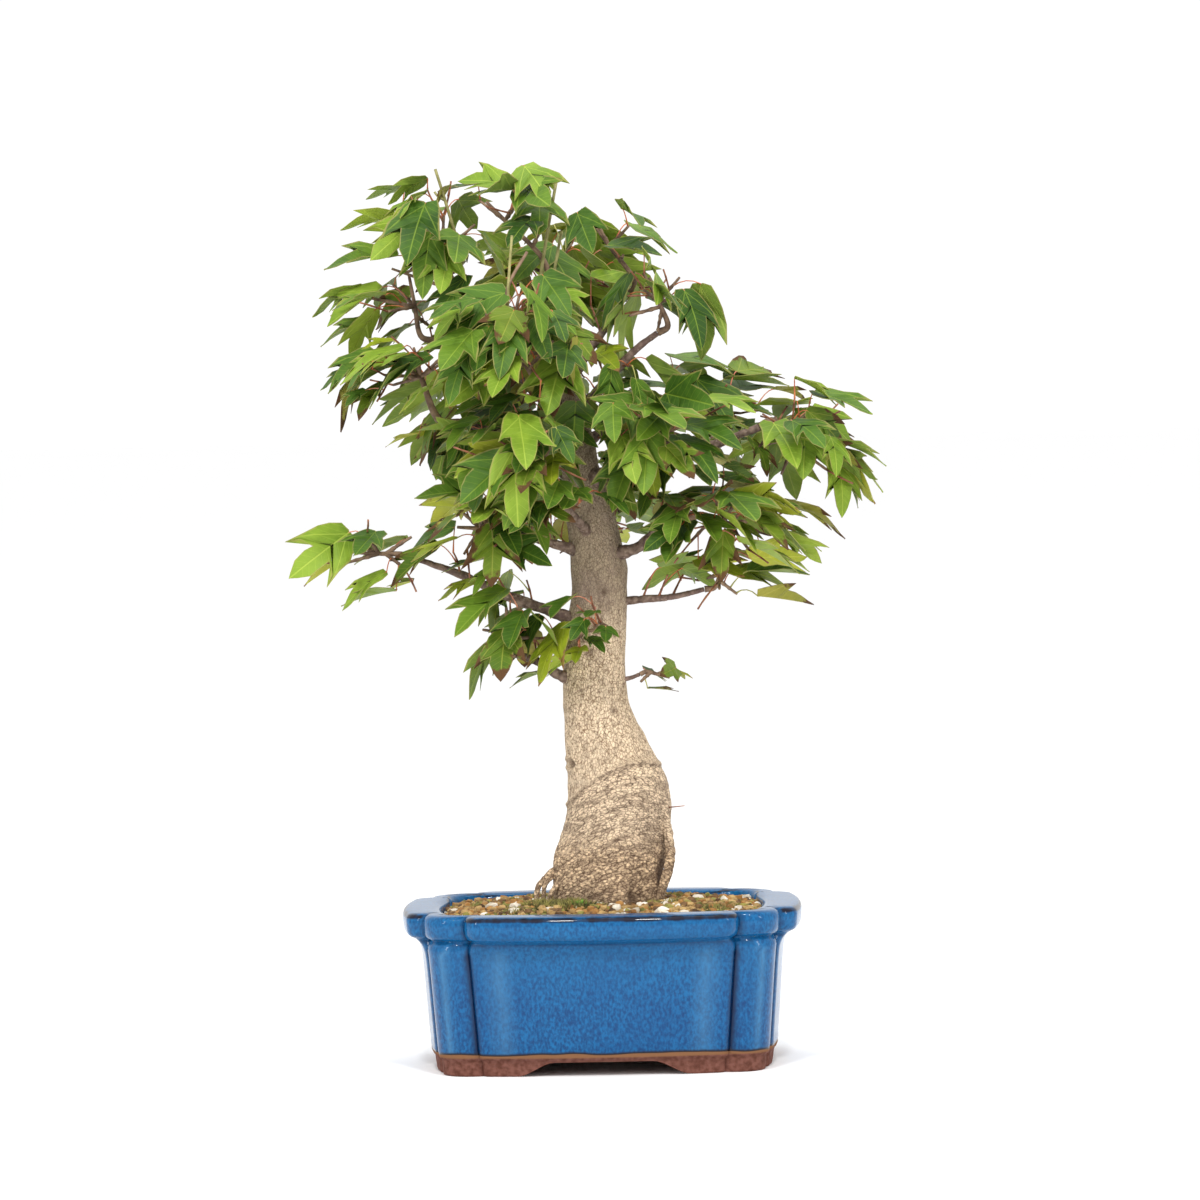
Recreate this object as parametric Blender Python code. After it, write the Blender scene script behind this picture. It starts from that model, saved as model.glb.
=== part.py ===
"""A trident maple bonsai in its glazed pot, grown from a few driving sizes.

One object for each sub-part: the pot, the soil in it, the trunk with its exposed roots, the boughs,
and the masses of foliage, each of them a stem that branches into twigs with leaves fused on.
Sizes in the tables are in millimetres and become metres where they are used. +X is the right of the
tree's front, +Y goes to its back and +Z up, from the table that the pot stands on.
"""
import math
import random

import bmesh
import bpy
from mathutils import Matrix, Vector
from mathutils.bvhtree import BVHTree

MM = 0.001
GAP = 0.3 * MM  # kept between any two sub-parts that meet
UP = Vector((0.0, 0.0, 1.0))

# Pot: half sizes in plan at the ends of its sides, and how far each side bows out at its middle.
POT_HALF_X = 97.0
POT_HALF_Y = 79.0
SIDE_BOW = 3.0
FRONT_BOW = 5.0
# A corner in plan: where the lobe's centre lies in from both sides, the lobe's radius, the depth of the
# notch either side of it, and the radius that a side ends in.
LIP_CORNER = (24.5, 15.3, 10.0, 8.0)
WALL_CORNER = (16.0, 14.0, 3.5, 5.0)
INNER_CORNER = (15.0, 14.4, 0.8, 2.0)
LOBE_STEPS = 4
# Levels up the outside: height, inset from the rim's half sizes, corner.
POT_OUTSIDE = (
    (0.0, 15.0, WALL_CORNER),
    (8.0, 14.6, WALL_CORNER),
    (8.8, 13.4, WALL_CORNER),
    (11.5, 13.0, WALL_CORNER),
    (58.0, 9.2, WALL_CORNER),
    (63.5, 7.6, WALL_CORNER),
    (67.5, 4.2, LIP_CORNER),
    (69.5, 1.2, LIP_CORNER),
    (76.6, 0.0, LIP_CORNER),
    (79.4, 1.6, LIP_CORNER),
    (80.0, 5.0, LIP_CORNER),
)
FLOOR_TOP = 15.0
POT_INSIDE = (
    (80.2, 17.5, INNER_CORNER),
    (78.6, 19.5, INNER_CORNER),
    (20.0, 22.5, INNER_CORNER),
    (FLOOR_TOP, 27.0, INNER_CORNER),
)
# Arches that part the feet: half width at the table and under the floor, height.
FRONT_ARCH = (43.5, 24.0, 7.0)
SIDE_ARCH = (30.0, 15.0, 7.0)
DRAIN_HOLE_RADIUS = 8.0
DRAIN_HOLE_X = 34.0

# Soil: level at the pot's wall, and the flat mound that the trunk stands on.
SOIL_EDGE = 76.0
GROUND = 80.7
MOUND_SHARE = 0.52  # of the soil's half sizes

# Trunk stations, from the soil to the tip: height, lean to the right, lean to the back, half width.
TRUNK = (
    (GROUND, 2.4, 0.0, 27.0),
    (95.0, 3.3, 0.0, 27.0),
    (106.0, 4.8, 0.0, 27.0),
    (116.0, 7.4, 0.0, 26.4),
    (127.0, 9.7, 0.0, 25.8),
    (139.0, 8.8, 0.0, 25.5),
    (150.0, 6.4, 0.0, 23.3),
    (161.0, 3.3, 0.0, 20.4),
    (172.0, 0.7, 0.5, 17.8),
    (183.0, -1.2, 1.0, 16.2),
    (206.0, -0.8, 2.0, 15.2),
    (231.0, 1.4, 3.0, 13.9),
    (252.0, 1.5, 3.5, 14.2),
    (274.0, -2.0, 3.5, 12.0),
    (297.0, -7.0, 3.0, 9.8),
    (317.0, -7.9, 2.0, 7.6),
    (333.0, -9.1, 1.0, 6.3),
    (348.0, -12.9, 0.0, 5.9),
    (362.0, -17.2, 0.0, 4.4),
    (374.0, -19.8, 0.0, 2.8),
    (385.0, -21.1, 0.0, 1.7),
)
TRUNK_SIDES = 16
TRUNK_DEPTH_SHARE = 0.92  # half depth over half width
ROOT_RIDGES = 5
ROOT_RIDGE_SHARE = 0.07
FLARE_TOP = 140.0

# Exposed roots, fused to the trunk: route, radius at the trunk and at the soil.
ROOTS = (
    (((-18, -6, 101), (-24, -8, 96.5), (-29, -9, 92), (-32, -10, 88), (-33, -10.5, 76)), 2.8, 1.7),
    (((-24, -8.5, 95.5), (-26.5, -10, 92.5), (-28.5, -11, 89), (-29.5, -12, 76)), 1.9, 1.5),
    (((24, -7, 128), (32, -9, 121), (33.6, -10, 111), (33.2, -10.5, 101), (30, -10.5, 91), (27, -10, 76)),
     3.6, 3.0),
)

# Boughs: route from the trunk's middle to where the limb enters its mass, radius there and at the end.
BOUGHS = {
    "bough_lower_left": (
        ((-2, 1, 190), (-19, -3, 194.5), (-29.5, -6, 201.5), (-40.5, -8, 205.5)), 4.2, 2.2),
    "bough_long_left": (
        ((-0.5, 2, 217), (-20.5, -1, 225.5), (-44, -4, 234.5), (-68, -5, 246), (-88, -5, 253.5)), 4.8, 2.0),
    "bough_left_low": (((0, 3, 254), (-22, -5, 260.5), (-37.5, -10, 265.5)), 4.0, 2.4),
    "bough_left_middle": (
        ((-6, 3, 296), (-21, -2, 305.5), (-35, -9, 311.5), (-51, -14, 317), (-65, -17, 321)), 5.6, 2.8),
    "bough_left_shoulder": (
        ((-8.5, 2, 329), (-30.5, 10, 340.5), (-52.5, 11, 352), (-78, 6, 362.5)), 4.2, 1.9),
    "bough_left_fork": (
        ((-13.5, 0, 346.5), (-30.5, 2, 352.5), (-38, 3, 363.5), (-54, 4, 378), (-65.5, 4, 389)), 4.3, 2.0),
    "bough_top_right": (((-11.5, 0, 342), (0, 3, 358), (9, 4, 370), (16, 4, 381)), 3.6, 1.7),
    "bough_right_shoulder": (((-8.5, 1, 324), (7.5, -4, 341), (21, -8, 355.5), (33, -9, 364.5)), 4.2, 2.0),
    "bough_right_middle": (((-5.5, 2, 290), (13, -10, 299), (25, -19, 308.5), (34, -24, 317.5)), 5.0, 2.5),
    "bough_right_long": (
        ((-2.5, 3, 276), (20.5, 4, 289.5), (42, 2, 300.5), (63, -1, 309), (83, -3, 316.5)), 5.6, 2.4),
    "bough_right_lower": (((1, 3, 253), (21, -5, 257.5), (32.5, -10, 267.5), (45.5, -14, 271.5)), 4.6, 2.4),
    "bough_right_low": (((1, 3, 229), (23, 0, 231.5), (38, -2, 232.5), (54, -3, 236)), 3.2, 1.7),
    "bough_front_upper": (((-8, 2, 311), (-16, -12, 322.5), (-22.5, -24, 333.5)), 3.6, 2.2),
    "bough_front_lower": (((-0.5, 3, 262), (-8.5, -16, 272), (-14.5, -28, 280.5)), 3.6, 2.2),
    "bough_back_top": (((-10.5, 1, 338), (-12, 18, 356.5), (-14, 34, 372.5)), 3.4, 1.8),
    "bough_back_left": (((-7, 3, 301), (-23, 18, 309.5), (-41, 34, 318.5)), 4.2, 2.2),
    "bough_back_right": (((-8, 3, 306), (7, 20, 318), (21.5, 37, 327.5)), 4.2, 2.2),
    "bough_back_low": (((0, 3, 258), (-0.5, 24, 267), (-1.5, 38, 274)), 3.8, 2.2),
    "sprig_right": (((0, 2, 189), (15, -2, 192), (21, -3, 194)), 1.7, 1.3),
    "sprig_front": (((1, 2, 222), (2, -13, 221), (3, -19, 220)), 1.7, 1.3),
}
BOUGH_STEPS = 2  # spans between two points of a route
BOUGH_BEVEL = 1  # which gives six sides

# Masses of foliage: the limb that each grows on, the middle and half sizes of its space, how many twigs
# leave its stem, how steeply its leaves hang, in degrees, their size beside the others', and the seed.
MASSES = {
    "foliage_lower_left": ("bough_lower_left", (-45, -10, 216), (41, 38, 39), 6, 48, 1.0, 989),
    "foliage_left_reach": ("bough_long_left", (-108, -6, 257), (50, 38, 31), 8, 37, 1.0, 5),
    "foliage_left_low": ("bough_left_low", (-57, -16, 269), (50, 44, 34), 10, 36, 1.0, 906),
    "foliage_left_middle": ("bough_left_middle", (-85, -14, 345), (53, 48, 38), 12, 41, 1.0, 617),
    "foliage_left_shoulder": ("bough_left_shoulder", (-88, 4, 380), (53, 46, 45), 17, 30, 1.0, 260),
    "foliage_top_left": ("bough_left_fork", (-74, 2, 406), (56, 48, 50), 16, 55, 1.0, 59),
    "foliage_apex": ("trunk", (-42, 0, 422), (47, 50, 38), 9, 23, 1.0, 470),
    "foliage_top_right": ("bough_top_right", (10, 2, 408), (39, 46, 35), 10, 23, 1.0, 933),
    "foliage_right_shoulder": ("bough_right_shoulder", (34, -6, 380), (45, 46, 38), 12, 49, 1.0, 229),
    "foliage_right_middle": ("bough_right_middle", (33, -32, 312), (54, 50, 42), 10, 44, 1.0, 614),
    "foliage_right_long": ("bough_right_long", (100, -4, 307), (56, 47, 42), 16, 36, 1.0, 152),
    "foliage_right_lower": ("bough_right_lower", (67, -18, 269), (59, 48, 41), 11, 17, 1.0, 596),
    "foliage_right_low": ("bough_right_low", (63, -4, 247), (52, 40, 37), 9, 16, 1.0, 993),
    "foliage_front_upper": ("bough_front_upper", (-40, -43, 364), (55, 48, 52), 19, 38, 1.0, 594),
    "foliage_front_lower": ("bough_front_lower", (-33, -42, 301), (44, 46, 41), 15, 21, 1.0, 80),
    "foliage_back_top": ("bough_back_top", (-20, 48, 394), (61, 46, 46), 7, 39, 1.0, 797),
    "foliage_back_left": ("bough_back_left", (-52, 46, 327), (62, 46, 48), 8, 40, 1.0, 744),
    "foliage_back_right": ("bough_back_right", (53, 46, 325), (58, 46, 45), 8, 10, 1.0, 48),
    "foliage_back_low": ("bough_back_low", (-8, 48, 283), (53, 44, 43), 9, 18, 1.0, 21),
    "leaves_right_sprig": ("sprig_right", (30, -5, 194), (26, 24, 18), 2, 42, 0.55, 703),
    "leaves_front_sprig": ("sprig_front", (-7, -30, 217), (24, 20, 20), 2, 33, 0.55, 380),
}
LEAF_LENGTH = (27.0, 40.0)
LEAF_THICKNESS_SHARE = 0.034
PETIOLE_LENGTH = (9.0, 17.0)
PETIOLE_RADIUS = (0.18, 0.42)  # where it leaves the twig, well inside it, and at the blade's foot
TWIG_RADIUS = 1.1
STEM_END_RADIUS = 1.9
STALK_FACES = 4  # a leaf's first faces, which are its stalk's
TWIG_END_SHARE = 0.75  # a twig's end radius over its start radius
TWIG_REACH = 0.42  # of the way from a mass's middle to its edge
NODE_SHARES = (0.3, 0.62, 0.94)  # where leaf pairs stand along a twig
TRIES = 20  # poses tried for a leaf before it is left out, each freer than the last
STEM_OVERLAP = 1.0 * MM
CELL_CLEARANCE = 0.5 * MM
LIMB_CLEARANCE = 1.2 * MM
LEAF_SPACING = 9.0 * MM
GOLDEN_ANGLE = math.pi * (3.0 - math.sqrt(5.0))
# A blade in plan: across and along, over its length. Three lobes, the middle one the longest.
BLADE_HALF = ((0.46, 0.66, -0.07), (0.19, 0.60, -0.03))
BLADE_MIDDLE = 0.42
BLADE_TIP_DROP = -0.10


def place(point):
    """A table's point in metres."""
    return Vector(point) * MM


def fresh_collection(name):
    """A new collection under the scene's own."""
    collection = bpy.data.collections.new(name)
    bpy.context.scene.collection.children.link(collection)
    return collection


def principled(name, colour, roughness, coat=0.0):
    """A plain material of one colour."""
    material = bpy.data.materials.new(name)
    material.use_nodes = True
    shader = material.node_tree.nodes["Principled BSDF"]
    shader.inputs["Base Color"].default_value = (*colour, 1.0)
    shader.inputs["Roughness"].default_value = roughness
    shader.inputs["Metallic"].default_value = 0.0
    shader.inputs["Coat Weight"].default_value = coat
    return material


def body_object(name, body, material, collection):
    """The object of a finished bmesh, its faces pointing out."""
    bmesh.ops.recalc_face_normals(body, faces=body.faces)
    mesh = bpy.data.meshes.new(name)
    body.to_mesh(mesh)
    body.free()
    mesh.materials.append(material)
    item = bpy.data.objects.new(name, mesh)
    collection.objects.link(item)
    return item


def as_cutter(item):
    """Marks an object as a guide that only cuts others."""
    item.hide_render = True
    item.display_type = "WIRE"
    return item


def combine(item, other, operation):
    """A Boolean modifier that joins another object to this one, or cuts it away."""
    change = item.modifiers.new(other.name, "BOOLEAN")
    change.operation = operation
    change.object = other


def loft(rings):
    """A closed body through rings of equally many points, flat at both ends."""
    body = bmesh.new()
    levels = [[body.verts.new(point) for point in ring] for ring in rings]
    for low, high in zip(levels, levels[1:]):
        for i in range(len(low)):
            body.faces.new((low[i - 1], low[i], high[i], high[i - 1]))
    body.faces.new(levels[0])
    body.faces.new(levels[-1])
    return body


def pot_corner(half_x, half_y, corner):
    """A quarter of the pot's plan, from the middle of a short side to the middle of a long one."""
    centre, radius, notch, side_end = corner
    along = centre + math.sqrt(radius**2 - (centre - notch) ** 2)
    swing = math.atan2(along - centre, centre - notch)
    points = [(half_x + SIDE_BOW, 0.0), (half_x, half_y - along - side_end)]
    side_turn = math.radians(50)
    points.append((
        half_x - notch * (1 - math.cos(side_turn)),
        half_y - along - side_end * (1 - math.sin(side_turn)),
    ))
    for step in range(LOBE_STEPS + 1):
        turn = -swing + (math.pi / 2 + 2 * swing) * step / LOBE_STEPS
        across, deep = radius * math.cos(turn), radius * math.sin(turn)
        points.append((half_x - centre + across, half_y - centre + deep))
    points.append((
        half_x - along - side_end * (1 - math.sin(side_turn)),
        half_y - notch * (1 - math.cos(side_turn)),
    ))
    points += [(half_x - along - side_end, half_y), (0.0, half_y + FRONT_BOW)]
    return points


def pot_ring(height, inset, corner):
    """The pot's outline at one level, in metres."""
    quarter = pot_corner(POT_HALF_X - inset, POT_HALF_Y - inset, corner)
    back = quarter[::-1]
    outline = quarter[:-1]
    outline += [(-x, y) for x, y in back[:-1]]
    outline += [(-x, -y) for x, y in quarter[:-1]]
    outline += [(x, -y) for x, y in back[:-1]]
    return [place((x, y, height)) for x, y in outline]


def arch_cutter(name, arch, length, turn, cutters):
    """A bar with an ogee back that cuts an archway between the feet, from one side to the other."""
    half_base, half_top, height = arch
    steps = 4
    flank = []
    for step in range(steps + 1):
        share = step / steps
        rise = share * share * (3.0 - 2.0 * share)
        flank.append((half_base + (half_top - half_base) * share, height * rise))
    profile = [(half_base, -2.0), *flank]
    profile += [(-x, z) for x, z in reversed(profile)]
    ends = [[place((x, y, z)) for x, z in profile] for y in (-length / 2, length / 2)]
    cutter = body_object(name, loft(ends), None, cutters)
    cutter.rotation_euler.z = turn
    return as_cutter(cutter)


def build_pot(material, parts, cutters):
    """The glazed pot: lobed corners, a broad lip, four feet and two drain holes."""
    levels = [pot_ring(*level) for level in (*POT_OUTSIDE, *POT_INSIDE)]
    pot = body_object("pot", loft(levels), material, parts)
    reach = 2.4 * POT_HALF_X
    combine(pot, arch_cutter("front_arch", FRONT_ARCH, reach, 0.0, cutters), "DIFFERENCE")
    combine(pot, arch_cutter("side_arch", SIDE_ARCH, reach, math.pi / 2, cutters), "DIFFERENCE")
    for side in (-1, 1):
        bpy.ops.mesh.primitive_cylinder_add(
            vertices=12,
            radius=DRAIN_HOLE_RADIUS * MM,
            depth=3 * FLOOR_TOP * MM,
            location=place((side * DRAIN_HOLE_X, 0.0, FLOOR_TOP / 2)),
        )
        hole = bpy.context.object
        hole.name = "drain_hole"
        bpy.context.collection.objects.unlink(hole)
        cutters.objects.link(as_cutter(hole))
        combine(pot, hole, "DIFFERENCE")
    return pot


def build_soil(material, parts):
    """The soil: it fills the pot and rises to a flat mound under the trunk."""
    gap = GAP / MM
    wall = POT_INSIDE[1:]
    levels = [pot_ring(FLOOR_TOP + gap, wall[-1][1] + gap, INNER_CORNER)]
    levels.append(pot_ring(wall[1][0], wall[1][1] + gap, INNER_CORNER))
    share = (SOIL_EDGE - wall[1][0]) / (wall[0][0] - wall[1][0])
    edge_inset = wall[1][1] + (wall[0][1] - wall[1][1]) * share + gap
    edge = pot_ring(SOIL_EDGE, edge_inset, INNER_CORNER)
    levels.append(edge)
    for scale in (0.78, MOUND_SHARE):
        rise = (1.0 - scale) / (1.0 - MOUND_SHARE)
        height = (SOIL_EDGE + (GROUND - gap - SOIL_EDGE) * math.sin(rise * math.pi / 2)) * MM
        levels.append([Vector((point.x * scale, point.y * scale, height)) for point in edge])
    return body_object("soil", loft(levels), material, parts)


def trunk_ring(station, widen):
    """The trunk's section at one station, ridged by the roots near the soil."""
    height, lean_x, lean_y, half_width = station
    flare = max(0.0, (FLARE_TOP - height) / (FLARE_TOP - GROUND))
    ring = []
    for i in range(TRUNK_SIDES):
        turn = 2 * math.pi * i / TRUNK_SIDES
        ridge = 1.0 + ROOT_RIDGE_SHARE * flare * math.cos(ROOT_RIDGES * turn + 0.6)
        radius = half_width * ridge + widen
        across = lean_x + radius * math.cos(turn)
        deep = lean_y + radius * TRUNK_DEPTH_SHARE * math.sin(turn)
        ring.append(place((across, deep, height)))
    return ring


def smooth_route(points, steps):
    """A route through the points, with the spans between them bent like a growing limb."""
    padded = [2 * points[0] - points[1], *points, 2 * points[-1] - points[-2]]
    route = []
    for before, start, end, after in zip(padded, padded[1:], padded[2:], padded[3:]):
        for step in range(steps):
            t = step / steps
            route.append(
                0.5 * (2 * start + (end - before) * t
                       + (2 * before - 5 * start + 4 * end - after) * t**2
                       + (3 * start - before - 3 * end + after) * t**3)
            )
    return [*route, points[-1]]


def limb_object(name, points, radii, material, collection):
    """One tapering limb: a round curve, thinning along its route, made a closed mesh."""
    curve = bpy.data.curves.new(name, "CURVE")
    curve.dimensions = "3D"
    curve.bevel_depth = radii[0]
    curve.bevel_resolution = BOUGH_BEVEL
    curve.use_fill_caps = True
    spline = curve.splines.new("POLY")
    spline.points.add(len(points) - 1)
    for knot, point, radius in zip(spline.points, points, radii):
        knot.co = (*point, 1.0)
        knot.radius = radius / radii[0]
    guide = bpy.data.objects.new(name, curve)
    collection.objects.link(guide)
    scene_view = bpy.context.evaluated_depsgraph_get()
    mesh = bpy.data.meshes.new_from_object(guide.evaluated_get(scene_view))
    bpy.data.objects.remove(guide)
    body = bmesh.new()
    body.from_mesh(mesh)
    bmesh.ops.remove_doubles(body, verts=body.verts, dist=0.01 * MM)
    return body_object(name, body, material, collection)


def limb_shape(bough):
    """A bough's route and the radius at each point of it."""
    points, first, last = bough
    route = smooth_route([place(point) for point in points], BOUGH_STEPS)
    spans = len(route) - 1
    radii = [(first + (last - first) * i / spans) * MM for i in range(spans + 1)]
    return route, radii


def build_trunk(material, parts, cutters):
    """The trunk with its exposed roots, cut flat just over the soil, and the guide that cuts the boughs."""
    stations = [(GROUND + GAP / MM, *TRUNK[0][1:]), *TRUNK[1:]]
    trunk = body_object("trunk", loft([trunk_ring(s, 0.0) for s in stations]), material, parts)
    for number, root in enumerate(ROOTS, 1):
        route, radii = limb_shape(root)
        combine(trunk, as_cutter(limb_object(f"root_{number}", route, radii, material, cutters)), "UNION")
    bpy.ops.mesh.primitive_cube_add(size=1.0, location=place((0.0, 0.0, GROUND + GAP / MM - 20.0)))
    below = bpy.context.object
    below.name = "below_ground"
    below.scale = place((160.0, 120.0, 40.0))
    bpy.context.collection.objects.unlink(below)
    cutters.objects.link(as_cutter(below))
    combine(trunk, below, "DIFFERENCE")
    swollen = loft([trunk_ring(s, GAP / MM) for s in TRUNK])
    return as_cutter(body_object("trunk_clearance", swollen, None, cutters))


def all_limbs():
    """Every limb that foliage keeps clear of, as its route and radii."""
    limbs = {name: limb_shape(bough) for name, bough in BOUGHS.items()}
    limbs["trunk"] = (
        [place((x, y, height)) for height, x, y, half in TRUNK],
        [half * MM for height, x, y, half in TRUNK],
    )
    return limbs


def touches_limb(point, limbs, clearance):
    """Whether a point comes nearer to any limb's bark than the clearance."""
    for route, radii in limbs.values():
        for start, end, thick, thin in zip(route, route[1:], radii, radii[1:]):
            span = end - start
            share = min(1.0, max(0.0, (point - start).dot(span) / span.length_squared))
            if (point - start - span * share).length < thick + (thin - thick) * share + clearance:
                return True
    return False


def in_space(point, name, clearance):
    """Whether a point lies in a mass's own space: its ellipsoid, less what lies nearer another mass."""
    centre, radii = place(MASSES[name][1]), place(MASSES[name][2])
    away = point - centre
    if sum((away[i] / radii[i]) ** 2 for i in range(3)) > 1.0:
        return False
    own = away.length_squared - (sum(radii) / 3) ** 2
    for other, (_, middle, half_sizes, *_) in MASSES.items():
        if other == name:
            continue
        middle = place(middle)
        theirs = (point - middle).length_squared - (sum(half_sizes) * MM / 3) ** 2
        if theirs - own < 2 * clearance * (middle - centre).length:
            return False
    return True


def blade_frame(base, axis, normal, length):
    """The matrix that carries a blade of length 1 to its place, along its axis with its face up."""
    across = axis.cross(normal).normalized()
    face = across.cross(axis).normalized()
    turn = Matrix((across, axis, face)).transposed().to_4x4()
    return Matrix.Translation(base) @ turn @ Matrix.Scale(length, 4)


def blade_outline():
    """The rim of a blade of length 1, without its foot: right lobe, notch, tip, notch and left lobe."""
    right = [Vector(point) for point in BLADE_HALF]
    left = [Vector((-x, y, z)) for x, y, z in reversed(BLADE_HALF)]
    return [*right, Vector((0.0, 1.0, BLADE_TIP_DROP)), *left]


def leaf_shape(root, frame):
    """A leaf as points and faces: a three-sided stalk that widens into a lobed blade, closed all round."""
    base = frame.translation
    across, _, face = (frame.col[i].xyz.normalized() for i in range(3))
    stalk = (base - root).normalized()
    side = (across - stalk * across.dot(stalk)).normalized()
    below = side.cross(stalk)
    if below.dot(face) > 0.0:
        below.negate()
    thin, thick = (radius * MM for radius in PETIOLE_RADIUS)
    points = [root - side * thin, root + side * thin, root + below * thin]
    points += [base - across * thick, base + across * thick, base - face * thick]
    points += [frame @ point for point in blade_outline()]
    points.append(frame @ Vector((0.0, BLADE_MIDDLE, LEAF_THICKNESS_SHARE)))
    left, right, under, top = 3, 4, 5, len(points) - 1
    faces = [(0, 1, 2), (0, 1, right, left), (1, 2, under, right), (2, 0, left, under), (left, right, top)]
    rim = [right, *range(under + 1, top), left]
    for first, second in zip(rim, rim[1:]):
        faces += [(first, second, top), (first, second, under)]
    return points, faces


def pose_leaf(node, heading, side, droop, share, freedom, rng):
    """One leaf: where its stalk starts, and its blade's frame. Freedom runs from 0 to 1."""
    stalk = (heading * 0.5 + side * rng.uniform(0.5, 1.0) + UP * rng.uniform(0.0, 0.5)).normalized()
    base = node + stalk * rng.uniform(*PETIOLE_LENGTH) * share * MM
    outward = Vector((stalk.x + node.x * 6.0, stalk.y + node.y * 6.0, 0.0)).normalized()
    outward.rotate(Matrix.Rotation(math.radians(rng.gauss(0.0, 22.0 + 60.0 * freedom)), 3, "Z"))
    pitch = math.radians(rng.gauss(droop, 12.0 + 14.0 * freedom))
    axis = outward * math.cos(pitch) - UP * math.sin(pitch)
    normal = Matrix.Rotation(math.radians(rng.gauss(0.0, 24.0)), 3, axis) @ UP
    return node, blade_frame(base, axis, normal, rng.uniform(*LEAF_LENGTH) * share * MM)


def leaf_fits(node, frame, name, limbs, taken, twigs, own):
    """Whether a leaf keeps to its mass's space, clear of the limbs, the other leaves and the twigs."""
    middle = frame @ Vector((0.0, BLADE_MIDDLE, 0.0))
    if (middle - frame.translation).dot(frame.translation - node) < 0.0:
        return False
    rim = [frame.translation, *(frame @ point for point in blade_outline())]
    if not all(in_space(point, name, CELL_CLEARANCE) for point in rim):
        return False
    if any((middle - other).length < LEAF_SPACING for other, _ in taken):
        return False
    samples = [*rim, middle]
    samples += [(a + b) / 2 for a, b in zip(rim, rim[1:] + rim[:1])]
    samples += [(point + middle) / 2 for point in rim]
    samples += [node.lerp(rim[0], share) for share in (0.3, 0.6)]
    if any(touches_limb(point, limbs, LIMB_CLEARANCE) for point in samples):
        return False
    points, faces = leaf_shape(node, frame)
    blade = BVHTree.FromPolygons(points, faces[STALK_FACES:])
    if blade.overlap(twigs[own]):
        return False
    whole = BVHTree.FromPolygons(points, faces)
    if any(whole.overlap(twig) for i, twig in enumerate(twigs) if i != own):
        return False
    return not any(whole.overlap(other) for _, other in taken)


def stem_route(name, limbs):
    """A mass's stem: on from its limb's end, through the middle of its space and a little beyond."""
    limb, centre, radii, *_ = MASSES[name]
    route, thickness = limbs[limb]
    heading = (route[-1] - route[-2]).normalized()
    start = route[-1] + heading * GAP
    middle = place(centre)
    knee = start + heading * (middle - start).length * 0.4
    tip = middle + (middle - knee).normalized() * min(radii) * 0.35 * MM
    return [start, knee, middle, tip], thickness[-1]


def twig_mesh():
    """A three-sided twig of radius 1 and length 1, along +Z from the origin."""
    body = bmesh.new()
    bmesh.ops.create_cone(
        body, cap_ends=True, segments=3, radius1=1.0, radius2=TWIG_END_SHARE, depth=1.0,
        matrix=Matrix.Translation((0.0, 0.0, 0.5)),
    )
    mesh = bpy.data.meshes.new("twig")
    body.to_mesh(mesh)
    body.free()
    return mesh


def rod_frame(start, end, radius):
    """The matrix that stretches the twig of length 1 between two points."""
    span = end - start
    turn = span.to_track_quat("Z", "Y").to_matrix().to_4x4()
    return Matrix.Translation(start) @ turn @ Matrix.Diagonal((radius, radius, span.length, 1.0))


def mass_twigs(name, limbs, rng):
    """A mass's stem in three spans and the twigs that leave it, each as start, end and radius."""
    _, centre, radii, count, *_ = MASSES[name]
    centre, radii = place(centre), place(radii)
    stem, thickness = stem_route(name, limbs)
    spans = []
    for start, end in zip(stem, stem[1:]):
        overlap = (end - start).normalized() * STEM_OVERLAP if spans else Vector()
        spans.append((start - overlap, end, thickness))
        thickness = max(STEM_END_RADIUS * MM, thickness * TWIG_END_SHARE)
    twigs = []
    first_turn = rng.uniform(0.0, 2 * math.pi)
    for i in range(count):
        level = 1.0 - (2 * i + 1) / count
        turn = first_turn + i * GOLDEN_ANGLE
        flat = math.sqrt(1.0 - level * level)
        aim = Vector((flat * math.cos(turn), flat * math.sin(turn), level))
        end = centre + Vector([a * r for a, r in zip(aim, radii)]) * TWIG_REACH
        backward = aim.dot(stem[3] - stem[2]) < 0.0
        root = stem[1].lerp(stem[2], rng.uniform(0.2, 0.95)) if backward else stem[2]
        path = [root.lerp(end, share) for share in (0.3, 0.5, 0.7, 0.85, 1.0)]
        if any(touches_limb(p, limbs, LIMB_CLEARANCE) or not in_space(p, name, 2 * MM) for p in path):
            continue
        twigs.append((root, end, TWIG_RADIUS * MM))
    return spans, twigs


def grow(name, limbs, twig_shape):
    """A mass's twigs, as start, end and radius, and its leaves, as stalk root and blade frame."""
    droop, size, seed = MASSES[name][4:]
    rng = random.Random(seed)
    spans, twigs = mass_twigs(name, limbs, rng)
    faces = [face.vertices for face in twig_shape.polygons]
    solids = []
    for rod in twigs + spans:
        frame = rod_frame(*rod)
        solids.append(BVHTree.FromPolygons([frame @ corner.co for corner in twig_shape.vertices], faces))
    leaves, taken, bearing = [], [], []
    for own, (root, end, radius) in enumerate(twigs):
        heading = (end - root).normalized()
        across = heading.cross(UP).normalized()
        before = len(leaves)
        for pair, along in enumerate(NODE_SHARES):
            node = root.lerp(end, along)
            side = Matrix.Rotation(math.radians(90 * pair + rng.gauss(0, 20)), 3, heading) @ across
            for way in (-1, 1):
                for attempt in range(TRIES):
                    leaf = pose_leaf(node, heading, side * way, droop, size, attempt / TRIES, rng)
                    if leaf_fits(*leaf, name, limbs, taken, solids, own):
                        leaves.append(leaf)
                        middle = leaf[1] @ Vector((0.0, BLADE_MIDDLE, 0.0))
                        taken.append((middle, BVHTree.FromPolygons(*leaf_shape(*leaf))))
                        break
        if len(leaves) > before:
            bearing.append((root, end, radius))
    return spans + bearing, leaves


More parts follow.
